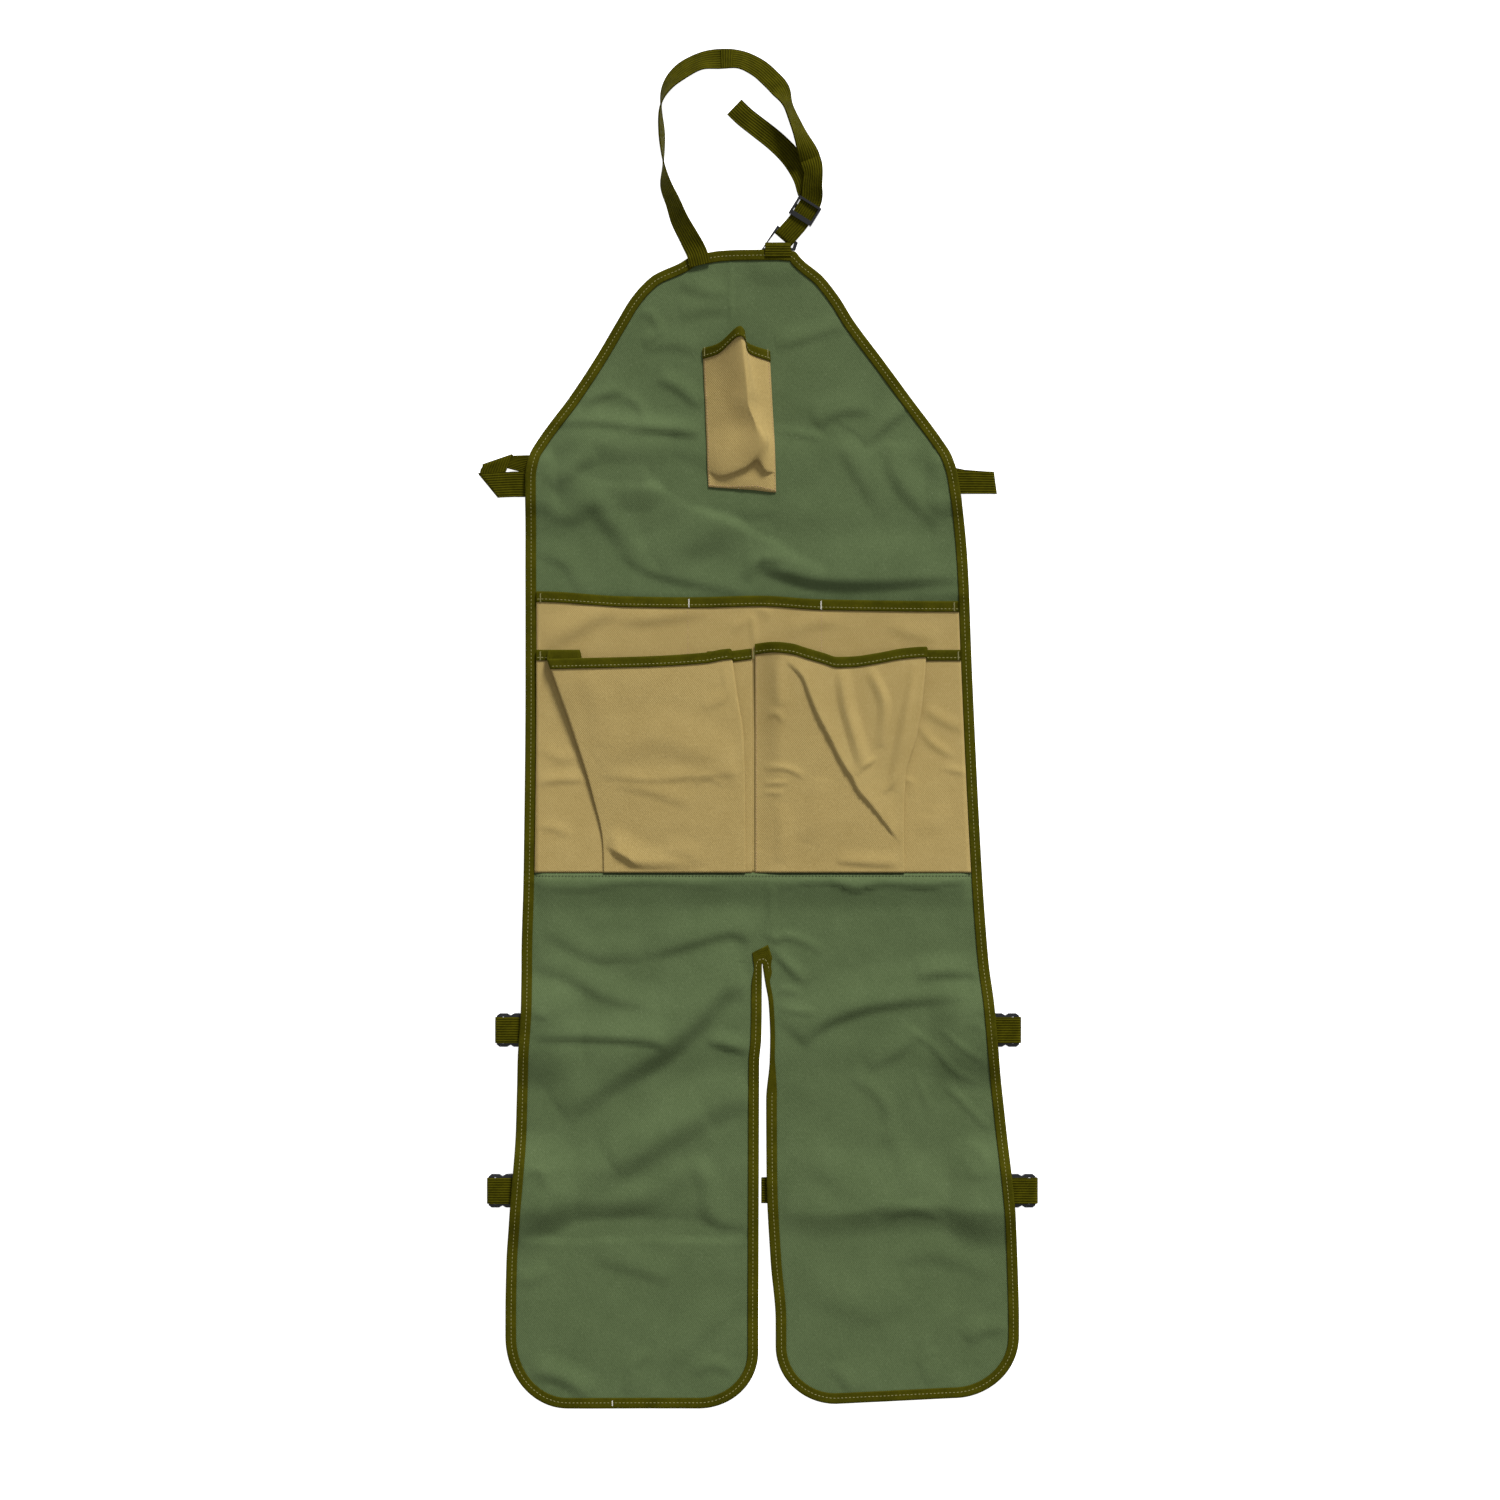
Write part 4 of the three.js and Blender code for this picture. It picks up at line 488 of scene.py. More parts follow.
# The body's surface
def stroke_height(x, y, stroke):
    height, shade, lit, soft, points = stroke
    path = through(points, 4 * len(points) + 1)
    reach = max(shade, lit)
    low, high = path.min(0) - reach, path.max(0) + reach
    out = np.zeros_like(x)
    near = (x > low[0]) & (x < high[0]) & (y > low[1]) & (y < high[1])
    if not near.any():
        return out
    px, py = x[near], y[near]
    best = np.full(px.shape, 1e9)
    value = np.zeros_like(px)
    count = len(path) - 1
    for i in range(count):
        a, b = path[i], path[i + 1]
        d = b - a
        t = np.clip(((px - a[0]) * d[0] + (py - a[1]) * d[1]) / (d @ d), 0, 1)
        dx, dy = px - a[0] - t * d[0], py - a[1] - t * d[1]
        distance = np.hypot(dx, dy)
        side = np.array([-d[1], d[0]])
        side = side * (1 if side @ LIGHT_FROM > 0 else -1)
        side = side / np.linalg.norm(side)
        lean = smooth(0.5 + 0.5 * (dx * side[0] + dy * side[1]) / np.maximum(distance, 1e-6))
        s = np.clip(distance / mix(shade, lit, lean), 0, 1)
        run = (i + t) / count
        taper = np.clip(4 * run * (1 - run), 0, 1) ** 0.6
        closer = distance < best
        best = np.where(closer, distance, best)
        value = np.where(closer, height * taper * (1 - s) ** 2 * (1 + 2 * soft * s), value)
    out[near] = value
    return out


def folds(x, y, strokes):
    return sum(stroke_height(x, y, stroke) for stroke in strokes)


def ground(x, y):
    """The height of the middle of the body's cloth."""
    x, y = np.broadcast_arrays(np.asarray(x, float), np.asarray(y, float))
    lift = np.zeros_like(x)
    least = np.zeros_like(x)
    for x0, x1, y0, y1, top, run in BUMPS:
        across = np.maximum(np.maximum(x0 - x, x - x1), 0)
        away = np.hypot(across, np.maximum(np.maximum(y0 - y, y - y1), 0))
        s = np.clip(away / run, 0, 1)
        lift = np.maximum(lift, (top - REST) * (1 - s) ** 2 * (1 + 2 * s))
        least = np.maximum(least, (top - REST) * (1 - smooth(away / BUMP_EDGE)))
    for height, length, turn in WAVES:
        angle = math.radians(turn)
        phase = (x * math.cos(angle) + y * math.sin(angle)) * 2 * math.pi / length
        lift = lift + height * (1 + np.sin(phase + length)) / 2
    lift = np.maximum(lift + FOLD_GAIN * folds(x, y, BODY_FOLDS), least)
    band_low, band_high = POCKET_BAND
    lift = lift * smooth(np.maximum(band_low - y, y - band_high) / BAND_FADE)
    roll = smooth((band_low + 0.5 - y) / ROLL_RISE) * (1 - smooth((band_low - 3 - y) / ROLL_RUN))
    roll = roll * smooth((x - left_edge(y) - ROLL_INSET) / ROLL_FADE)
    roll = roll * smooth((right_edge(y) - ROLL_INSET - x) / ROLL_FADE)
    return REST + CLOTH / 2 + lift + SEAM_ROLL * roll


# Pieces made from meshes
def mesh_piece(name, points, faces, material, nodes, uv):
    """A piece from source millimetres, with its cloth's own flat places as its UV map."""
    mesh = bpy.data.meshes.new(name)
    places = (np.asarray(points, float) + SHIFT) / 1000
    mesh.from_pydata(places.tolist(), [], [list(map(int, f)) for f in faces])
    layer = mesh.uv_layers.new(name="cloth")
    corners = np.zeros(len(mesh.loops), int)
    mesh.loops.foreach_get("vertex_index", corners)
    layer.data.foreach_set("uv", (np.asarray(uv, float)[corners] / 1000).ravel())
    mesh.polygons.foreach_set("use_smooth", np.full(len(mesh.polygons), True))
    mesh.materials.append(material)
    mesh.validate()
    obj = bpy.data.objects.new(name, mesh)
    bpy.context.scene.collection.objects.link(obj)
    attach(obj, "root")
    if nodes:
        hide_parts(*nodes)
    return obj


def grid_faces(rows, columns, closed_rows=False, closed_columns=False):
    r = np.arange(rows if closed_rows else rows - 1)
    c = np.arange(columns if closed_columns else columns - 1)
    r, c = (a.ravel() for a in np.meshgrid(r, c, indexing="ij"))
    r1, c1 = (r + 1) % rows, (c + 1) % columns
    return np.stack([r * columns + c, r1 * columns + c, r1 * columns + c1, r * columns + c1], axis=1)


def shell(points, quads, thickness):
    """A closed double sheet around a middle surface."""
    a, b, c, d = (points[quads[:, k]] for k in range(4))
    across = np.cross(c - a, d - b)
    normals = np.zeros_like(points)
    for k in range(4):
        np.add.at(normals, quads[:, k], across)
    normals = unit(normals)
    count = len(points)
    edges = np.concatenate([quads[:, [k, (k + 1) % 4]] for k in range(4)])
    keys = edges.min(1) * count + edges.max(1)
    _, first, times = np.unique(keys, return_index=True, return_counts=True)
    rim = edges[first[times == 1]]
    walls = np.stack([rim[:, 1], rim[:, 0], rim[:, 0] + count, rim[:, 1] + count], axis=1)
    both = np.concatenate([points + normals * thickness / 2, points - normals * thickness / 2])
    return both, np.concatenate([quads, quads[:, ::-1] + count, walls]), normals


def sheet_piece(name, points, quads, uv, thickness, material, nodes):
    """A sheet of cloth around its middle surface, and the way out from it at each place."""
    both, faces, normals = shell(points, quads, thickness)
    obj = mesh_piece(name, both, faces, material, nodes, np.concatenate([uv, uv]))
    return obj, normals


# The body panel: a trunk of rows, then a leg each side of the split
def leg_side(edge, corner, inward, count):
    """One long edge of a leg, down to the middle of its rounded corner's hem."""
    wide, high, down = CORNERS[corner]
    hem = -BODY_LENGTH * down
    turn = np.linspace(0, math.pi / 2, CORNER_ROWS)
    top = SPLIT_TOP[1] - SPLIT_ROUND * SPLIT_ROUND_ROWS
    straight = np.linspace(SPLIT_TOP[1] - SPLIT_ROUND - 2, hem + high + ROW_STEP, count)
    y = np.concatenate([top, straight, hem + high * (1 - np.sin(turn))])
    inset = np.concatenate([np.zeros(len(top) + count), wide * (1 - np.cos(turn))])
    return edge(y) + inward * inset, y


def body_grid():
    """The flat places of the body, its quads, and its edge once round."""
    trunk_y = np.linspace(0, SPLIT_TOP[1], int(-SPLIT_TOP[1] / ROW_STEP) + 1)
    centre = SPLIT_TOP[0] * smooth(-trunk_y / -SPLIT_TOP[1])
    half = np.linspace(0, 1, HALF_COLUMNS + 1)
    rows = [
        np.concatenate([mix(left_edge(y), c, half), mix(c, right_edge(y), half[1:])])
        for y, c in zip(trunk_y, centre)
    ]
    width = 2 * HALF_COLUMNS + 1
    trunk = np.stack([np.array(rows), np.repeat(trunk_y[:, None], width, 1)], axis=2)
    trunk[..., 1] -= curve(*columns_of(TOP_ARCH))(trunk[..., 0]) * smooth(1 + trunk[..., 1] / ARCH_RUN)
    points = [trunk.reshape(-1, 2)]
    quads = [grid_faces(len(trunk_y), width)]
    base = len(points[0])
    last = (len(trunk_y) - 1) * width
    straight_count = int((SPLIT_TOP[1] - LEGS_STRAIGHT_TO) / ROW_STEP)
    edges = []
    legs = [
        ((left_edge, "left_outer", 1), (split_edge(split_left_share), "left_inner", -1), 0),
        ((split_edge(split_right_share), "right_inner", 1), (right_edge, "right_outer", -1), HALF_COLUMNS),
    ]
    for left, right, start in legs:
        lx, ly = leg_side(*left, straight_count)
        rx, ry = leg_side(*right, straight_count)
        leg = np.stack([mix(lx[:, None], rx[:, None], half), mix(ly[:, None], ry[:, None], half)], axis=2)
        rows, columns = leg.shape[:2]
        top = np.arange(HALF_COLUMNS)
        joined = np.stack([last + start + top, base + top, base + top + 1, last + start + top + 1], axis=1)
        quads += [joined, grid_faces(rows, columns) + base]
        points.append(leg.reshape(-1, 2))
        edges.append((leg[:, 0], leg[:, -1], leg[-1]))
        base += rows * columns
    left, right = edges
    apex = trunk[-1][HALF_COLUMNS:HALF_COLUMNS + 1]
    loop = np.concatenate([
        trunk[0], trunk[1:, -1], right[1], right[2][::-1][1:], right[0][::-1][1:], apex,
        left[1], left[2][::-1][1:], left[0][::-1][1:], trunk[::-1, 0][:-1],
    ])
    return np.concatenate(points), np.concatenate(quads), loop


# Rows of stitches are gathered here as the pieces are made: their places and the way up from the cloth
STITCH_ROWS = {"pale": [], "tan": [], "dark": [], "white": [], "green": []}


# Bound edges: a tape folded over an edge, swept as a closed band
def tape_profile():
    """Offsets in from the edge, and out from the cloth's middle, once round the folded tape."""
    def side(clearance, width):
        flat = [(width * f, clearance) for f in FLANGE]
        turn = [(-clearance * math.cos(a), clearance * math.sin(a)) for a in ROUND]
        return flat + turn + [(width * f, -clearance) for f in FLANGE[::-1]]
    outer = side(TAPE_TOP, TAPE_WIDTH)
    inner = side(TAPE_TOP - TAPE, TAPE_WIDTH - 0.05)
    return np.array(outer + inner[::-1])


def swept(rings, closed):
    """Joins rings of places into a band, with flat ends where it is open."""
    count, size = rings.shape[:2]
    faces = grid_faces(count, size, closed_rows=closed, closed_columns=True)[:, ::-1].tolist()
    if not closed:
        faces += [list(range(size)), list(range((count - 1) * size, count * size))[::-1]]
    return rings.reshape(-1, 3), faces


def lengths_of(line):
    """How far each place of a line is along it."""
    return np.concatenate([[0], np.cumsum(np.linalg.norm(np.diff(line, axis=0), axis=1))])


def tape_uv(lengths, profile):
    return np.stack([np.repeat(lengths, len(profile)), np.tile(lengths_of(profile), len(lengths))], axis=1)


def body_tape(loop):
    """The tape's mesh round the body's edge, and the line of its stitches."""
    path, lengths = along(loop, TAPE_STEP, closed=True)
    tangent = unit(np.roll(path, -3, 0) - np.roll(path, 3, 0))
    outward = np.stack([-tangent[:, 1], tangent[:, 0]], axis=1)
    profile = tape_profile()
    from_apex = path - SPLIT_TOP
    apex = np.exp(-(from_apex[:, 0] ** 2 + from_apex[:, 1] ** 2) / APEX_RUN ** 2)
    upright = np.maximum(-outward[:, 1], 0) ** 2
    reach = 1 + apex * (APEX_BUNCH * upright - APEX_NARROW * (1 - upright))
    beside = (from_apex[:, 0] > 0) & (from_apex[:, 0] < CURL_BESIDE) & (outward[:, 0] < 0)
    high, low = CURLED_EDGE
    curled = beside * smooth((high - path[:, 1]) / CURL_FADES[0]) * smooth((path[:, 1] - low) / CURL_FADES[1])
    reach = reach * (1 - CURL_NARROW * curled)
    inward = profile[:, 0] * np.where(profile[:, 0] > 0, reach[:, None], 1)
    spots = path[:, None, :] - outward[:, None, :] * inward[..., None]
    held = path[:, None, :] - outward[:, None, :] * np.maximum(inward, 0)[..., None]
    heights = ground(held[..., 0], held[..., 1]) + profile[:, 1]
    points, faces = swept(np.concatenate([spots, heights[..., None]], axis=2), True)
    stitch = path - outward * BODY_STITCH_INSET
    lift = ground(stitch[:, 0], stitch[:, 1]) + TAPE_TOP - CURL_SINK * curled
    return points, faces, tape_uv(lengths, profile), np.column_stack([stitch, lift])


def mouth_tape(name, edge, below, normal):
    """A tape over a pocket's mouth, from its line and the cloth's line a tape's width below."""
    down = unit(below - edge)
    profile = tape_profile()
    inward, out = profile[:, 0][None, :, None], profile[:, 1][None, :, None]
    rings = edge[:, None, :] + down[:, None, :] * inward + normal[:, None, :] * out
    points, faces = swept(rings, False)
    line = edge + down * (TAPE_WIDTH * MOUTH_STITCH_SHARE) + normal * TAPE_TOP
    STITCH_ROWS["pale"].append((line, normal))
    uv = tape_uv(lengths_of(edge), profile)
    return mesh_piece(name + "_mouth_tape", points, faces, TAPE_OLIVE, [name + "_binding"], uv)


# Ribbons of webbing, from places along the middle and the vector from there to one edge
def ribbon(name, centres, halves, nodes, thickness=WEBBING, step=2.5, columns=9, ribs_across=False):
    stations, lengths = along(np.hstack([centres, halves]), step)
    share = np.linspace(-1, 1, columns)
    points = stations[:, None, :3] + stations[:, None, 3:] * share[None, :, None]
    quads = grid_faces(len(stations), columns)
    wide = np.linalg.norm(halves[0])
    uv = np.stack([np.repeat(lengths, columns), np.tile(share * wide, len(stations))], axis=1)
    uv = uv[:, ::-1] if ribs_across else uv
    obj, _ = sheet_piece(name, points.reshape(-1, 3), quads, uv, thickness, WEB_OLIVE, nodes)
    bevel = obj.modifiers.new("selvedge", "BEVEL")
    bevel.width = SELVEDGE_BEVEL
    bevel.segments = 3
    bevel.limit_method = "ANGLE"
    bevel.angle_limit = math.radians(50)


# Shader maths
class Val:
    """A socket that can be added, scaled and waved as a number."""

    def __init__(self, tree, socket):
        self.tree, self.socket = tree, socket

    def _math(self, operation, *others, flip=False, clamp=False):
        node = self.tree.nodes.new("ShaderNodeMath")
        node.operation = operation
        node.use_clamp = clamp
        values = [self, *others]
        for i, value in enumerate(values[::-1] if flip else values):
            if isinstance(value, Val):
                self.tree.links.new(value.socket, node.inputs[i])
            else:
                node.inputs[i].default_value = value
        return Val(self.tree, node.outputs[0])

    def __add__(self, other):
        return self._math("ADD", other)

    def __sub__(self, other):
        return self._math("SUBTRACT", other)

    def __rsub__(self, other):
        return self._math("SUBTRACT", other, flip=True)

    def __mul__(self, other):
        return self._math("MULTIPLY", other)

    __radd__ = __add__
    __rmul__ = __mul__

    def sine(self):
        return self._math("SINE")

    def clamp(self):
        return self._math("ADD", 0.0, clamp=True)


class Finish:
    """A material with its tree, and one way to add nodes to it."""

    def __init__(self, name, roughness, specular=0.3):
        self.material = bpy.data.materials.new(name)
        self.material.use_nodes = True
        self.tree = self.material.node_tree
        self.shader = next(n for n in self.tree.nodes if n.type == "BSDF_PRINCIPLED")
        self.shader.inputs["Roughness"].default_value = roughness
        self.shader.inputs["Specular IOR Level"].default_value = specular

    def node(self, kind, settings=None, **sockets):
        node = self.tree.nodes.new(kind)
        for key, value in (settings or {}).items():
            setattr(node, key, value)
        for key, value in sockets.items():
            socket = node.inputs[key]
            if isinstance(value, Val):
                self.tree.links.new(value.socket, socket)
            else:
                socket.default_value = value
        return node

    def out(self, node, name=0):
        return Val(self.tree, node.outputs[name])

    def blend(self, factor, high):
        node = self.node("ShaderNodeMix", {"data_type": "RGBA"}, Factor=factor)
        node.inputs[7].default_value = (*high, 1)
        return node

    def place(self, scale=(1, 1, 1), turn=0.0, uv=False):
        source = self.node("ShaderNodeUVMap") if uv else self.node("ShaderNodeTexCoord")
        vector = self.out(source, "UV" if uv else "Object")
        mapping = self.node("ShaderNodeMapping", Vector=vector, Scale=scale, Rotation=(0, 0, turn))
        return self.out(mapping)

    def parts(self, vector):
        node = self.node("ShaderNodeSeparateXYZ", Vector=vector)
        return self.out(node, 0), self.out(node, 1), self.out(node, 2)

    def noise(self, vector, scale, detail=3.0):
        node = self.node("ShaderNodeTexNoise", Vector=vector, Scale=scale, Detail=detail, Roughness=0.55)
        return self.out(node)

    def colours(self, factor, low, high):
        node = self.blend(factor, high)
        node.inputs[6].default_value = (*low, 1)
        return self.out(node, 2)

    def tint(self, colour, factor, tone):
        node = self.blend(factor, tone)
        self.tree.links.new(colour.socket, node.inputs[6])
        return self.out(node, 2)

    def paint(self, colour):
        self.tree.links.new(colour.socket, self.shader.inputs["Base Color"])

    def rough(self, value):
        self.tree.links.new(value.socket, self.shader.inputs["Roughness"])

    def bump(self, height, distance, strength=1.0):
        node = self.node("ShaderNodeBump", Height=height, Distance=distance, Strength=strength)
        self.tree.links.new(node.outputs[0], self.shader.inputs["Normal"])


def linear(r, g, b):
    """A colour as seen on the screen, as light."""
    return tuple(c / 255 / 12.92 if c <= 10.3 else ((c / 255 + .055) / 1.055) ** 2.4 for c in (r, g, b))


def canvas(name, dark, light, thread_light):
    """Cotton twill: diagonal lines, single threads, and a soft uneven dye."""
    finish = Finish(name, 0.86, 0.07)
    place = finish.place()
    x, y, _ = finish.parts(place)
    diagonal = ((x + y * TWILL_SLOPE) * (2 * math.pi / TWILL_PITCH)).sine()
    threads = finish.noise(finish.place((900, 260, 500)), 1.0, 2.0)
    flecks = finish.noise(finish.place((1, 1, 1), 0.6), 620, 2.0)
    clouds = finish.noise(place, 14, 4.0)
    dye = finish.noise(place, 55, 3.0)
    tone = (clouds * 0.2 + dye * 0.2 + threads * 0.3 + flecks * 0.25 + diagonal * 0.13 + 0.02).clamp()
    colour = finish.colours(tone, dark, light)
    worn = ((flecks - 0.62) * 4.0).clamp() * 0.35
    finish.paint(finish.tint(colour, worn, thread_light))
    finish.rough(0.78 + threads * 0.14)
    finish.shader.inputs["Sheen Weight"].default_value = 0.03
    finish.shader.inputs["Sheen Roughness"].default_value = 0.5
    finish.bump(diagonal * 0.25 + threads * 0.6 + flecks * 0.4 + dye * 1.2, 0.00035, 0.8)
    return finish.material


def webbing_finish(name, dark, light):
    """Ribbed webbing: ribs along it, with picks across each."""
    finish = Finish(name, 0.7, 0.02)
    place = finish.place(uv=True)
    u, v, _ = finish.parts(place)
    ribs = (v * (2 * math.pi / RIB_PITCH)).sine()
    picks = (u * (2 * math.pi / PICK_PITCH) + v * (math.pi / RIB_PITCH)).sine()
    wear = finish.noise(place, 90, 3.0)
    fibre = finish.noise(finish.place((260, 1400, 1), uv=True), 1.0, 2.0)
    tone = (0.42 + ribs * 0.2 + picks * 0.07 + (wear - 0.5) * 0.6 + (fibre - 0.5) * 0.4).clamp()
    finish.paint(finish.colours(tone, dark, light))
    finish.bump(ribs * 0.8 + picks * 0.3 + fibre * 0.3, 0.0003, 0.9)
    return finish.material


def tape_finish(name, dark, light):
    """Plain woven tape, with a fine even weave and a little wear."""
    finish = Finish(name, 0.75, 0.02)
    place = finish.place(uv=True)
    u, v, _ = finish.parts(place)
    weave = (u * (2 * math.pi / WEAVE_PITCH)).sine() * (v * (2 * math.pi / WEAVE_PITCH)).sine()
    wear = finish.noise(place, 60, 3.0)
    fibre = finish.noise(finish.place((1100, 300, 1), uv=True), 1.0, 2.0)
    tone = (0.45 + weave * 0.15 + (wear - 0.5) * 0.7 + (fibre - 0.5) * 0.5).clamp()
    finish.paint(finish.colours(tone, dark, light))
    finish.bump(weave * 0.4 + fibre * 0.6, 0.00025, 0.8)
    return finish.material


def thread_finish(name, dark, light):
    finish = Finish(name, 0.55, 0.3)
    place = finish.place()
    tone = finish.noise(place, 900, 2.0)
    finish.paint(finish.colours(tone, dark, light))
    finish.bump(tone, 0.0001)
    return finish.material


def plastic_finish(name, dark, light, roughness, coat):
    finish = Finish(name, roughness, 0.45)
    place = finish.place()
    grain = finish.noise(place, 1500, 2.0)
    wear = finish.noise(place, 60, 3.0)
    finish.paint(finish.colours(wear, dark, light))
    finish.rough(roughness - 0.08 + wear * 0.16)
    finish.shader.inputs["Coat Weight"].default_value = coat
    finish.bump(grain, 0.00005, 0.6)
    return finish.material


def floor_finish():
    finish = Finish("pale_floor", 0.9, 0.1)
    place = finish.place()
    tone = finish.noise(place, 3, 2.0)
    finish.paint(finish.colours(tone, (0.93, 0.93, 0.93), (0.95, 0.95, 0.95)))
    finish.shader.inputs["Emission Color"].default_value = (1, 1, 1, 1)
    finish.shader.inputs["Emission Strength"].default_value = FLOOR_GLOW
    return finish.material


GREEN = canvas("green_canvas", linear(56, 70, 39), linear(101, 116, 79), linear(128, 138, 108))
TAN = canvas("tan_canvas", linear(138, 116, 64), linear(186, 164, 108), linear(200, 182, 132))
TAPE_OLIVE = tape_finish("olive_tape", linear(38, 39, 2), linear(84, 80, 10))
WEB_OLIVE = webbing_finish("olive_webbing", linear(28, 27, 0), linear(86, 82, 6))
THREAD_PALE = thread_finish("pale_thread", linear(108, 104, 56), linear(156, 150, 98))
THREAD_WHITE = thread_finish("white_thread", linear(200, 196, 184), linear(240, 238, 230))
THREAD_TAN = thread_finish("tan_thread", linear(140, 112, 78), linear(182, 150, 116))
THREAD_DARK = thread_finish("dark_thread", linear(34, 38, 22), linear(60, 64, 40))
BLACK_PLASTIC = plastic_finish("black_moulded_plastic", linear(16, 17, 20), linear(30, 31, 35), 0.42, 0.1)
BLACK_WIRE = plastic_finish("black_coated_wire", linear(12, 13, 15), linear(28, 29, 32), 0.3, 0.3)


# Stitches: one small tree lays a thread bead at every point of a mesh
def stitch_tree():
    tree = bpy.data.node_groups.new("thread_beads", "GeometryNodeTree")
    face = tree.interface
    face.new_socket("Geometry", in_out="INPUT", socket_type="NodeSocketGeometry")
    for name in ("Length", "Width", "Height"):
        face.new_socket(name, in_out="INPUT", socket_type="NodeSocketFloat")
    face.new_socket("Thread", in_out="INPUT", socket_type="NodeSocketMaterial")
    face.new_socket("Geometry", in_out="OUTPUT", socket_type="NodeSocketGeometry")
    add, link = tree.nodes.new, tree.links.new
    start, end = add("NodeGroupInput"), add("NodeGroupOutput")
    bead = add("GeometryNodeMeshUVSphere")
    bead.inputs["Segments"].default_value = 6
    bead.inputs["Rings"].default_value = 4
    bead.inputs["Radius"].default_value = 0.5
    size = add("ShaderNodeCombineXYZ")
    for i, name in enumerate(("Length", "Width", "Height")):
        link(start.outputs[name], size.inputs[i])
    reads = []
    for name in ("along", "up"):
        read = add("GeometryNodeInputNamedAttribute")
        read.data_type = "FLOAT_VECTOR"
        read.inputs["Name"].default_value = name
        reads.append(read)
    turn = add("FunctionNodeAxesToRotation")
    turn.primary_axis, turn.secondary_axis = "X", "Z"
    link(reads[0].outputs["Attribute"], turn.inputs["Primary Axis"])
    link(reads[1].outputs["Attribute"], turn.inputs["Secondary Axis"])
    lay = add("GeometryNodeInstanceOnPoints")
    link(start.outputs["Geometry"], lay.inputs["Points"])
    link(bead.outputs["Mesh"], lay.inputs["Instance"])
    link(turn.outputs["Rotation"], lay.inputs["Rotation"])
    link(size.outputs[0], lay.inputs["Scale"])
    real = add("GeometryNodeRealizeInstances")
    paint = add("GeometryNodeSetMaterial")
    link(lay.outputs["Instances"], real.inputs[0])
    link(real.outputs[0], paint.inputs["Geometry"])
    link(start.outputs["Thread"], paint.inputs["Material"])
    link(paint.outputs[0], end.inputs[0])
    return tree


STITCH_TREE = stitch_tree()


def stitches(name, rows, pitch, size, thread):
    """Beads along each row of (places, up vectors); rows are in source millimetres."""
    places, along_row, up_row = [], [], []
    for path, up in rows:
        both, _ = along(np.hstack([path, np.broadcast_to(up, path.shape)]), pitch)
        middle = (both[1:] + both[:-1]) / 2
        places.append(middle[:, :3])
        along_row.append(unit(both[1:, :3] - both[:-1, :3]))
        up_row.append(unit(middle[:, 3:]))
    places = (np.concatenate(places) + SHIFT) / 1000
    mesh = bpy.data.meshes.new(name + "_places")
    mesh.from_pydata(places.tolist(), [], [])
    for key, values in (("along", np.concatenate(along_row)), ("up", np.concatenate(up_row))):
        attribute = mesh.attributes.new(key, "FLOAT_VECTOR", "POINT")
        attribute.data.foreach_set("vector", values.astype(np.float32).ravel())
    maker = bpy.data.objects.new(name + "_places", mesh)
    bpy.context.scene.collection.objects.link(maker)
    modifier = maker.modifiers.new("beads", "NODES")
    modifier.node_group = STITCH_TREE
    values = dict(zip(("Length", "Width", "Height"), (s / 1000 for s in size)))
    values["Thread"] = thread
    for item in STITCH_TREE.interface.items_tree:
        if item.in_out == "INPUT" and item.name in values:
            modifier[item.identifier] = values[item.name]
    graph = bpy.context.evaluated_depsgraph_get()
    made = bpy.data.meshes.new_from_object(maker.evaluated_get(graph), depsgraph=graph)
    bpy.data.objects.remove(maker)
    made.name = name
    made.polygons.foreach_set("use_smooth", np.full(len(made.polygons), True))
    obj = bpy.data.objects.new(name, made)
    bpy.context.scene.collection.objects.link(obj)
    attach(obj, "root")
    return obj


# Make the body and its edge
def make_body():
    flat, quads, loop = body_grid()
    points = np.column_stack([flat, ground(flat[:, 0], flat[:, 1])])
    body, _ = sheet_piece("body", points, quads, flat, CLOTH, GREEN, ["body_panel"])
    points, faces, uv, stitch = body_tape(loop)
    binding = mesh_piece("body_binding", points, faces, TAPE_OLIVE, ["edge_binding"], uv)
    closed = np.vstack([stitch, stitch[:1]])
    threads = stitches("body_binding_stitches", [(closed, UP)], *LONG_STITCH, THREAD_PALE)


# Make the pockets
def lengths_across(points):
    """How far each place of a grid is along its row of cloth."""
    steps = np.linalg.norm(np.diff(points, axis=1), axis=2)
    return np.concatenate([np.zeros((len(points), 1)), np.cumsum(steps, axis=1)], axis=1)


def pocket_pieces(name, points, u, v, tape_row):
    """A pocket's sheet, and the tape from its mouth down to about one of its rows."""
    quads = grid_faces(*points.shape[:2])
    uv = np.stack([u, v], axis=2).reshape(-1, 2)
    flat = points.reshape(-1, 3)
    sheet, normals = sheet_piece(name + "_sheet", flat, quads, uv, CLOTH, TAN, [name])
    mouth_normals = unit(normals.reshape(points.shape)[0])
    return sheet, mouth_tape(name, points[0], points[tape_row], mouth_normals)


def pleat_turn(x, low, high, side, count):
    """The half round of cloth where a pleat turns, without its ends."""
    angle = np.linspace(-math.pi / 2, math.pi / 2, count)[1:-1]
    return x + side * (high - low) / 2 * np.cos(angle), (low + high) / 2 + (high - low) / 2 * np.sin(angle)


def pleat_runs(edge, fold, inner, levels, way, part):
    """From the pocket's edge to the front's fold: places, heights and the part of each run."""
    low, mid, top = levels
    return [
        (np.linspace(edge, inner, GUSSET_COLUMNS), low, part),
        (*pleat_turn(inner, low, mid, way, 8), HIDDEN),
        (np.linspace(inner, fold, BACK_COLUMNS), mid, HIDDEN),
        (*pleat_turn(fold, mid, top, -way, 10), HIDDEN),
    ]


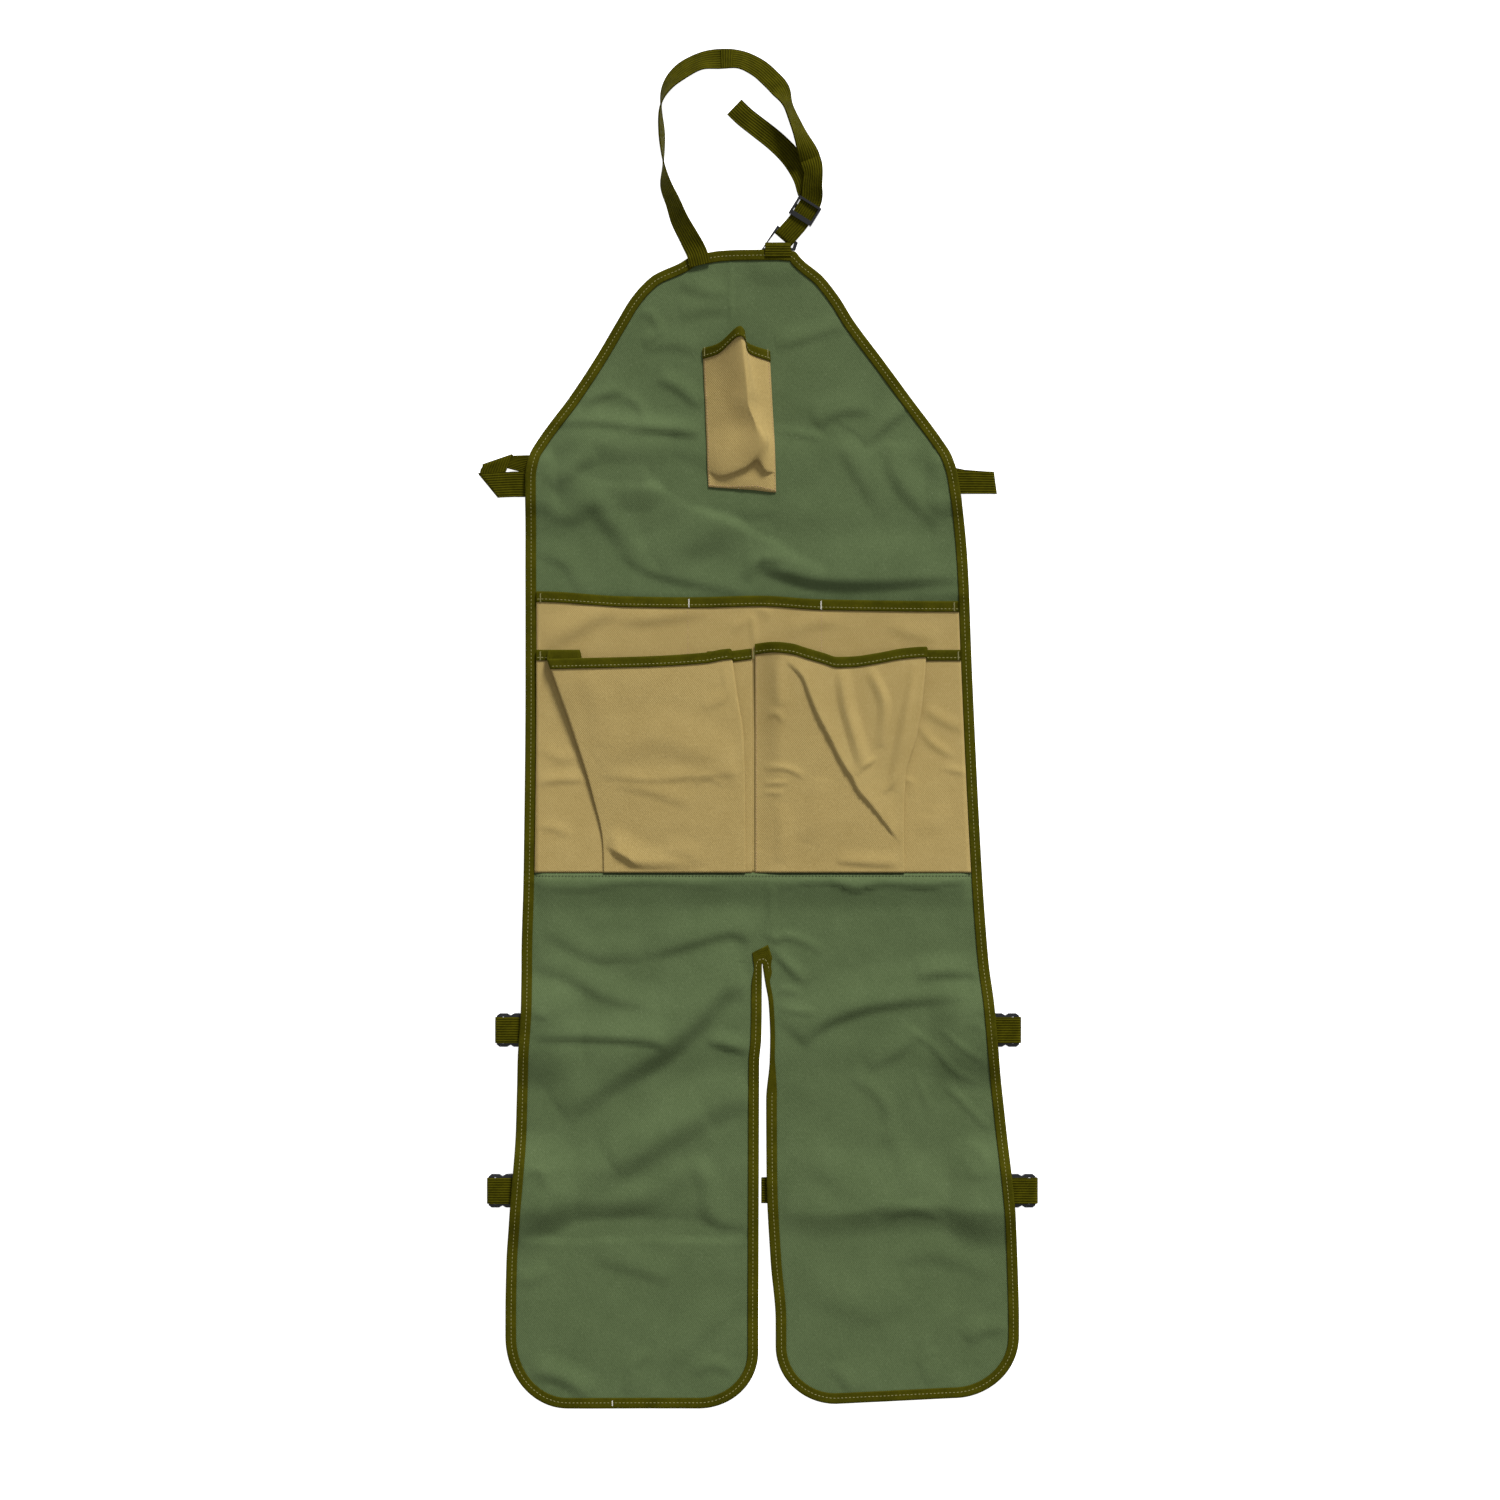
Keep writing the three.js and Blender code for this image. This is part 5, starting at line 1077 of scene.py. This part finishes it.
def pleated(x0, x1, levels, left, right):
    """Across one row of a pleated pocket: places, heights, and which part of the row each belongs to."""
    front = (left[0] if left else x0, right[0] if right else x1)
    runs = pleat_runs(x0, *left, levels, 1, LEFT_SIDE) if left else []
    runs.append((np.linspace(*front, FRONT_COLUMNS), levels[2], FRONT))
    if right:
        back = pleat_runs(x1, *right, levels, -1, RIGHT_SIDE)[::-1]
        runs += [(x[::-1], z[::-1] if np.ndim(z) else z, part) for x, z, part in back]
    xs = np.concatenate([x for x, _, _ in runs])
    zs = np.concatenate([np.broadcast_to(z, x.shape) for x, z, _ in runs])
    kinds = np.concatenate([np.full(len(x), part) for x, _, part in runs])
    return xs, zs, kinds, front


def lower_row(t, on_left, line):
    """One row of a lower pocket: places, heights, parts, swell of the front, and the front's two ends."""
    y = mix(LOWER_MOUTH, SEAM, t)
    down = LOWER_MOUTH - y
    low = UPPER_LEVEL + 1.05 + 1.45 * smooth((80 - down) / 70)
    pitch = mix(*PLEAT_PITCH, smooth((down - 9) / 199))
    outer = left_edge(y) + POCKET_INSET if on_left else right_edge(y) - POCKET_INSET
    inner = -CENTRE_SEAM if on_left else CENTRE_SEAM
    ends = (outer, 0) if on_left else (0, outer)
    tables = (LEFT_PLEAT, MIDDLE_PLEAT) if on_left else (None, RIGHT_PLEAT)
    pleats = [[mix(*ends, share(t)) for share in two_curves(table)] if table else None for table in tables]
    x0 = min(outer, inner)
    xs, zs, kinds, front = pleated(x0, max(outer, inner), (low, low + pitch, low + 2 * pitch), *pleats)
    raised = smooth(np.clip((zs - low - pitch) / pitch, 0, 1))
    gusset_line = np.where(xs < -100, 4.2, np.interp(xs, [-24, 0], [2.7, 5.7])) if on_left else 4.1
    ys = y + mix(gusset_line, line(xs), raised) * smooth(1 - down / 60)
    if not on_left:
        zs = np.where(kinds == FRONT, mix(low, zs, smooth((xs - x0) / 26)), zs)
    share = np.clip((xs - front[0]) / (front[1] - front[0]), 0, 1)
    most = LEFT_SWELL if on_left else RIGHT_SWELL
    swell = most * np.sin(np.pi * share) ** 0.8 * smooth((1 - t) / 0.25) * (1 - 0.5 * t)
    start, end = (np.full(len(xs), at) for at in front)
    return xs, ys, zs, kinds, np.where(kinds == FRONT, swell, 0), start, end


def lower_pocket(name, mouth, front_folds, gusset, gusset_folds, near_start):
    """A pocket hung in side pleats, as rows from its mouth to its seam."""
    line = curve(*columns_of(mouth))
    ts = np.linspace(0, 1, LOWER_ROWS)
    rows = [lower_row(t, name == "left_pocket", line) for t in ts]
    xs, ys, zs, kinds, swells, starts, ends = (np.array([row[k] for row in rows]) for k in range(7))
    calm = smooth((xs - starts) / near_start) * smooth((ends - xs) / 14) * smooth((1 - ts[:, None]) / 0.06)
    zs = zs + swells + np.where(kinds == FRONT, folds(xs, ys, front_folds) * calm, 0)
    zs = zs + np.where(kinds == gusset, np.clip(folds(xs, ys, gusset_folds), 0, 1.2), 0)
    points = np.stack([xs, ys, zs], axis=2)
    u = lengths_across(points)
    sheet, binding = pocket_pieces(name, points, u + xs[:, :1], ys, 6)
    return points


def upper_pocket():
    line = curve(*columns_of(UPPER_MOUTH_LINE))
    ys = np.linspace(UPPER_MOUTH, SEAM, 78)[:, None]
    share = np.linspace(0, 1, 150)[None, :]
    xs = mix(left_edge(ys) + POCKET_INSET, right_edge(ys) - POCKET_INSET, share)
    y = ys + line(xs) * smooth(1 - (UPPER_MOUTH - ys) / 40)
    showing = smooth((ys - (LOWER_MOUTH - 4)) / 10)
    room = 1.3 * smooth(1 - (UPPER_MOUTH - ys) / 43)
    near_sides = smooth(share * 420 / 12) * smooth((1 - share) * 420 / 12)
    zs = UPPER_LEVEL + room + folds(xs, y, UPPER_FOLDS) * showing * near_sides
    points = np.stack([xs, y, zs], axis=2)
    sheet, binding = pocket_pieces("upper_pocket", points, xs, y, 3)
    return points


def chest_pocket():
    control = np.array([[(*photo(px, py), z) for px, py, z in row] for row in CHEST_ROWS])
    down, across = 56, 60
    lofted = np.stack([through(control[:, k], down) for k in range(control.shape[1])], axis=1)
    points = np.stack([through(row, across) for row in lofted])
    base = ground(points[..., 0], points[..., 1]) + CLOTH + 0.3
    points[..., 2] = base + np.maximum(points[..., 2], 0)
    u = lengths_across(points)
    sheet, binding = pocket_pieces("chest_pocket", points, u, points[..., 1], 5)
    return points


# Make the straps
def loop_place(over, up):
    return np.array([LOOP_LEFT + over * LOOP_WIDTH, up * LOOP_HEIGHT])


def heading(turn):
    angle = math.radians(turn)
    return np.array([math.cos(angle), math.sin(angle)])


def beside(at, turn, distance):
    return loop_place(*at) + distance * heading(turn)


def neck_strap():
    half, middle = NECK_WIDTH / 2, WEBBING / 2
    rows = [[*loop_place(over, up), lift, roll] for over, up, lift, roll in NECK_ROUTE]
    for d in (-SLIDER_HALF, SLIDER_HALF):
        rows.append([*beside(SLIDER_AT, SLIDER_TURN, d), HIGH_LAYER["slider"], 0])
    for d in (-RING_REACH, 0):
        rows.append([*beside(RING_AT, RING_TURN, d), HIGH_LAYER["ring"], 0])
    over = through(rows, 12 * len(rows))
    tangent = unit(np.gradient(over[:, :2], axis=0))
    side = np.stack([-tangent[:, 1], tangent[:, 0]], axis=1)
    roll = np.radians(over[:, 3])
    z = over[:, 2] + half * np.abs(np.sin(roll)) + middle * np.abs(np.cos(roll))
    centres = np.column_stack([over[:, :2], z])
    halves = half * np.column_stack([side * np.cos(roll)[:, None], -np.sin(roll)])
    top, bottom = HIGH_LAYER["ring"] + middle, LOW_LAYER["ring"] + middle
    radius = (top - bottom) / 2
    bend = np.linspace(math.pi / 2, -math.pi / 2, 12)[1:]
    turned = beside(RING_AT, RING_TURN, 0) + radius * np.cos(bend)[:, None] * heading(RING_TURN)
    arc = np.column_stack([turned, (top + bottom) / 2 + radius * np.sin(bend)])
    rows = [[*beside(RING_AT, RING_TURN, -RING_REACH), bottom]]
    for d in (SLIDER_HALF, -SLIDER_HALF):
        rows.append([*beside(SLIDER_AT, SLIDER_TURN, d), LOW_LAYER["slider"] + middle])
    rows += [[*loop_place(*row), middle + TAIL_LIFT] for row in TAIL_ROUTE]
    under = through(rows, 10 * len(rows))
    back = unit(np.gradient(under[:, :2], axis=0))
    back_side = np.column_stack([-back[:, 1], back[:, 0], np.zeros(len(back))])
    all_centres = np.vstack([centres, arc, under])
    all_halves = np.vstack([halves, np.repeat(halves[-1:], len(arc), 0), -half * back_side])
    ribbon("neck_webbing", all_centres, all_halves, ["neck_strap"], columns=11, step=1.8)
    first, last = (photo(px, 0)[0] for px in JOIN_SPAN)
    joined = (centres[:, 0] > first) & (centres[:, 0] < last) & (centres[:, 1] > LOOP_HEIGHT / 2)
    lifted = centres[joined] + [0, 0, JOIN_LIFT]
    ribbon("neck_webbing_join", lifted, halves[joined], [], thickness=JOIN_THICK, ribs_across=True)


def ring_tab():
    path = through(RING_TAB_PATH, 60)
    centres = np.column_stack([np.full(len(path), sum(RING_TAB) / 2), path])
    halves = np.tile([(RING_TAB[0] - RING_TAB[1]) / 2, 0, 0], (len(path), 1))
    ribbon("ring_tab_webbing", centres, halves, ["ring_tab"], step=1.2, ribs_across=True)


def leg_strap(node, section, start, way, y, count, step):
    """Level webbing whose section runs one way from a place across the leg."""
    path = through(section, count)
    centres = np.column_stack([start + way * path[:, 0], np.full(len(path), y), path[:, 1]])
    halves = np.tile([0, -LEG_WIDTH / 2 * way, 0], (len(path), 1))
    ribbon(node + "_webbing", centres, halves, [node], step=step)


def leg_webbing():
    for level, y in LEG_DOWNS.items():
        for side, name in ((-1, "left"), (1, "right")):
            key = f"{name}_leg_{level}"
            outer_end = float((left_edge if side < 0 else right_edge)(y)) + side * TAB_REACH
            leg_strap(key + "_tab", TAB_PATH, outer_end, -side, y, 70, 1.5)
            low, high = (np.array(corner) * 1000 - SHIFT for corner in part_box(key + "_strap"))
            outer, inner = (low[0], high[0]) if side < 0 else (high[0], low[0])
            hook = HOOK_PATH + [(abs(inner - outer), HOOK_PATH[-1][1])]
            leg_strap(key + "_strap", hook, outer, np.sign(inner - outer), y, 120, 2.5)


def waist_strap(side, edge, rows, behind):
    """A strap through rows of both its edges beside the body, then through places behind it."""
    first = [[edge + WAIST_WIDTH * x, WAIST_DOWN + WAIST_WIDTH * y, z] for (x, y), _, z in rows]
    second = [[edge + WAIST_WIDTH * x, WAIST_DOWN + WAIST_WIDTH * y, z] for _, (x, y), z in rows]
    first += [[x, WAIST_DOWN + BEHIND_LOW, BEHIND_HEIGHT] for x in behind]
    second += [[x, WAIST_DOWN + BEHIND_HIGH, BEHIND_HEIGHT] for x in behind]
    first, second = np.array(first, float), np.array(second, float)
    centres, halves = (first + second) / 2, (first - second) / 2
    ribbon(f"waist_webbing_{side}", centres, halves, [f"waist_strap_{side}"], step=1.5, columns=11)


def waist_straps():
    left, right = float(left_edge(WAIST_DOWN)), float(right_edge(WAIST_DOWN))
    left_end = float(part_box("waist_strap_left")[1].x * 1000 - SHIFT[0])
    right_end = float(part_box("waist_strap_right")[0].x * 1000 - SHIFT[0])
    waist_strap("left", left, LEFT_WAIST_ROWS, [left_end])
    waist_strap("right", right, RIGHT_WAIST_ROWS, [right - RIGHT_STRAIGHT_AT, right_end])


def nearest(points, xs, ys):
    """Places on top of a sheet's grid under the given places."""
    flat = points.reshape(-1, 3)
    found = []
    for x, y in zip(xs, ys):
        away = (flat[:, 0] - x) ** 2 + (flat[:, 1] - y) ** 2 - flat[:, 2] * 0.05
        found.append([x, y, flat[np.argmin(away), 2] + CLOTH / 2])
    return np.array(found)


def bartack(x, y, z, high=8.0, wide=1.2, thread="white"):
    """A short dense zigzag of thread."""
    ys = np.linspace(y - high / 2, y + high / 2, TACK_POINTS)
    xs = x + wide / 2 * (-1.0) ** np.arange(TACK_POINTS)
    STITCH_ROWS[thread].append((np.column_stack([xs, ys, np.full(TACK_POINTS, z)]), UP))


def stitch_rows(sheets):
    right, chest = sheets["right"], sheets["chest"]
    ys = np.linspace(UPPER_MOUTH - 8, LOWER_MOUTH - 2, 16)
    for px in UPPER_SEAMS:
        xs = np.full(len(ys), photo(px, 0)[0])
        STITCH_ROWS["tan"].append((nearest(sheets["upper"], xs, ys), UP))
    raised = np.array([0, 0, CLOTH / 2 + 0.1])
    for line in (right[3:, 1], chest[6:, 1], chest[6:, -2], chest[-2, 1:-1]):
        STITCH_ROWS["tan"].append((line + raised, UP))
    x = np.linspace(float(left_edge(SEAM)) + 10, float(right_edge(SEAM)) - 10, 140)
    y = np.full(len(x), SEAM - 3.2)
    STITCH_ROWS["dark"].append((np.column_stack([x, y, ground(x, y) + CLOTH / 2 + 0.05]), UP))
    for px, py, name, thread in BARTACKS:
        x, y = photo(px, py)
        bartack(x, y, nearest(sheets[name], [x], [y])[0, 2] + TACK_LIFT, thread=thread)
    for x, y, z in (chest[2, 1], chest[2, -2]):
        bartack(x, y, z + CLOTH / 2 + TACK_LIFT, 8.4, 1.0, "green")
    x, y = photo(*HEM_JOIN)
    bartack(x, y, ground(x, y) + TAPE_TOP, 5.0, 1.0)
    beads = {
        "pale": (*LONG_STITCH, THREAD_PALE), "tan": (*TAN_STITCH, THREAD_TAN),
        "dark": (*SEAM_STITCH, THREAD_DARK), "white": (*TACK_STITCH, THREAD_WHITE),
        "green": (*TACK_STITCH, THREAD_PALE),
    }
    for kind, (pitch, size, thread) in beads.items():
        stitches(kind + "_stitches", STITCH_ROWS[kind], pitch, size, thread)


def fittings():
    for name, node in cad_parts.items():
        if name.endswith(("_socket", "_plug")):
            finish = BLACK_PLASTIC
        elif name in ("neck_slider", "neck_ring"):
            finish = BLACK_WIRE
        else:
            continue
        node.data.materials.clear()
        node.data.materials.append(finish)


def studio():
    mesh = bpy.data.meshes.new("floor")
    corners = [(x * FLOOR_HALF, y * FLOOR_HALF, 0) for x, y in ((-1, -1), (1, -1), (1, 1), (-1, 1))]
    mesh.from_pydata(corners, [], [(0, 1, 2, 3)])
    mesh.materials.append(floor_finish())
    floor = bpy.data.objects.new("floor", mesh)
    bpy.context.scene.collection.objects.link(floor)
    world = bpy.data.worlds.new("studio")
    world.use_nodes = True
    world.node_tree.nodes["Background"].inputs[0].default_value = (1, 1, 1, 1)
    world.node_tree.nodes["Background"].inputs[1].default_value = WORLD_LIGHT
    bpy.context.scene.world = world
    bpy.context.scene.view_settings.view_transform = "Standard"
    light = bpy.data.lights.new("softbox", "SUN")
    light.angle = math.radians(KEY_SOFTNESS)
    light.energy = KEY_LIGHT
    lamp = bpy.data.objects.new("softbox", light)
    lamp.matrix_world = look(-np.array(KEY_FROM))
    bpy.context.scene.collection.objects.link(lamp)
    camera = bpy.data.cameras.new("camera")
    camera.lens, camera.sensor_width = CAMERA_LENS, CAMERA_FILM
    eye = bpy.data.objects.new("camera", camera)
    eye.location = CAMERA_AT
    bpy.context.scene.collection.objects.link(eye)
    bpy.context.scene.camera = eye


def look(direction):
    return Vector(direction.tolist()).to_track_quat("-Z", "Y").to_matrix().to_4x4()


studio()
make_body()
SHEETS = {
    "upper": upper_pocket(),
    "left": lower_pocket("left_pocket", LEFT_MOUTH_LINE, LEFT_FRONT_FOLDS, LEFT_SIDE, LEFT_GUSSET_FOLDS, 14),
    "right": lower_pocket(
        "right_pocket", RIGHT_MOUTH_LINE, RIGHT_FRONT_FOLDS, RIGHT_SIDE, RIGHT_GUSSET_FOLDS, 9,
    ),
    "chest": chest_pocket(),
}
neck_strap()
ring_tab()
leg_webbing()
waist_straps()
fittings()
stitch_rows(SHEETS)

bpy.context.view_layer.update()
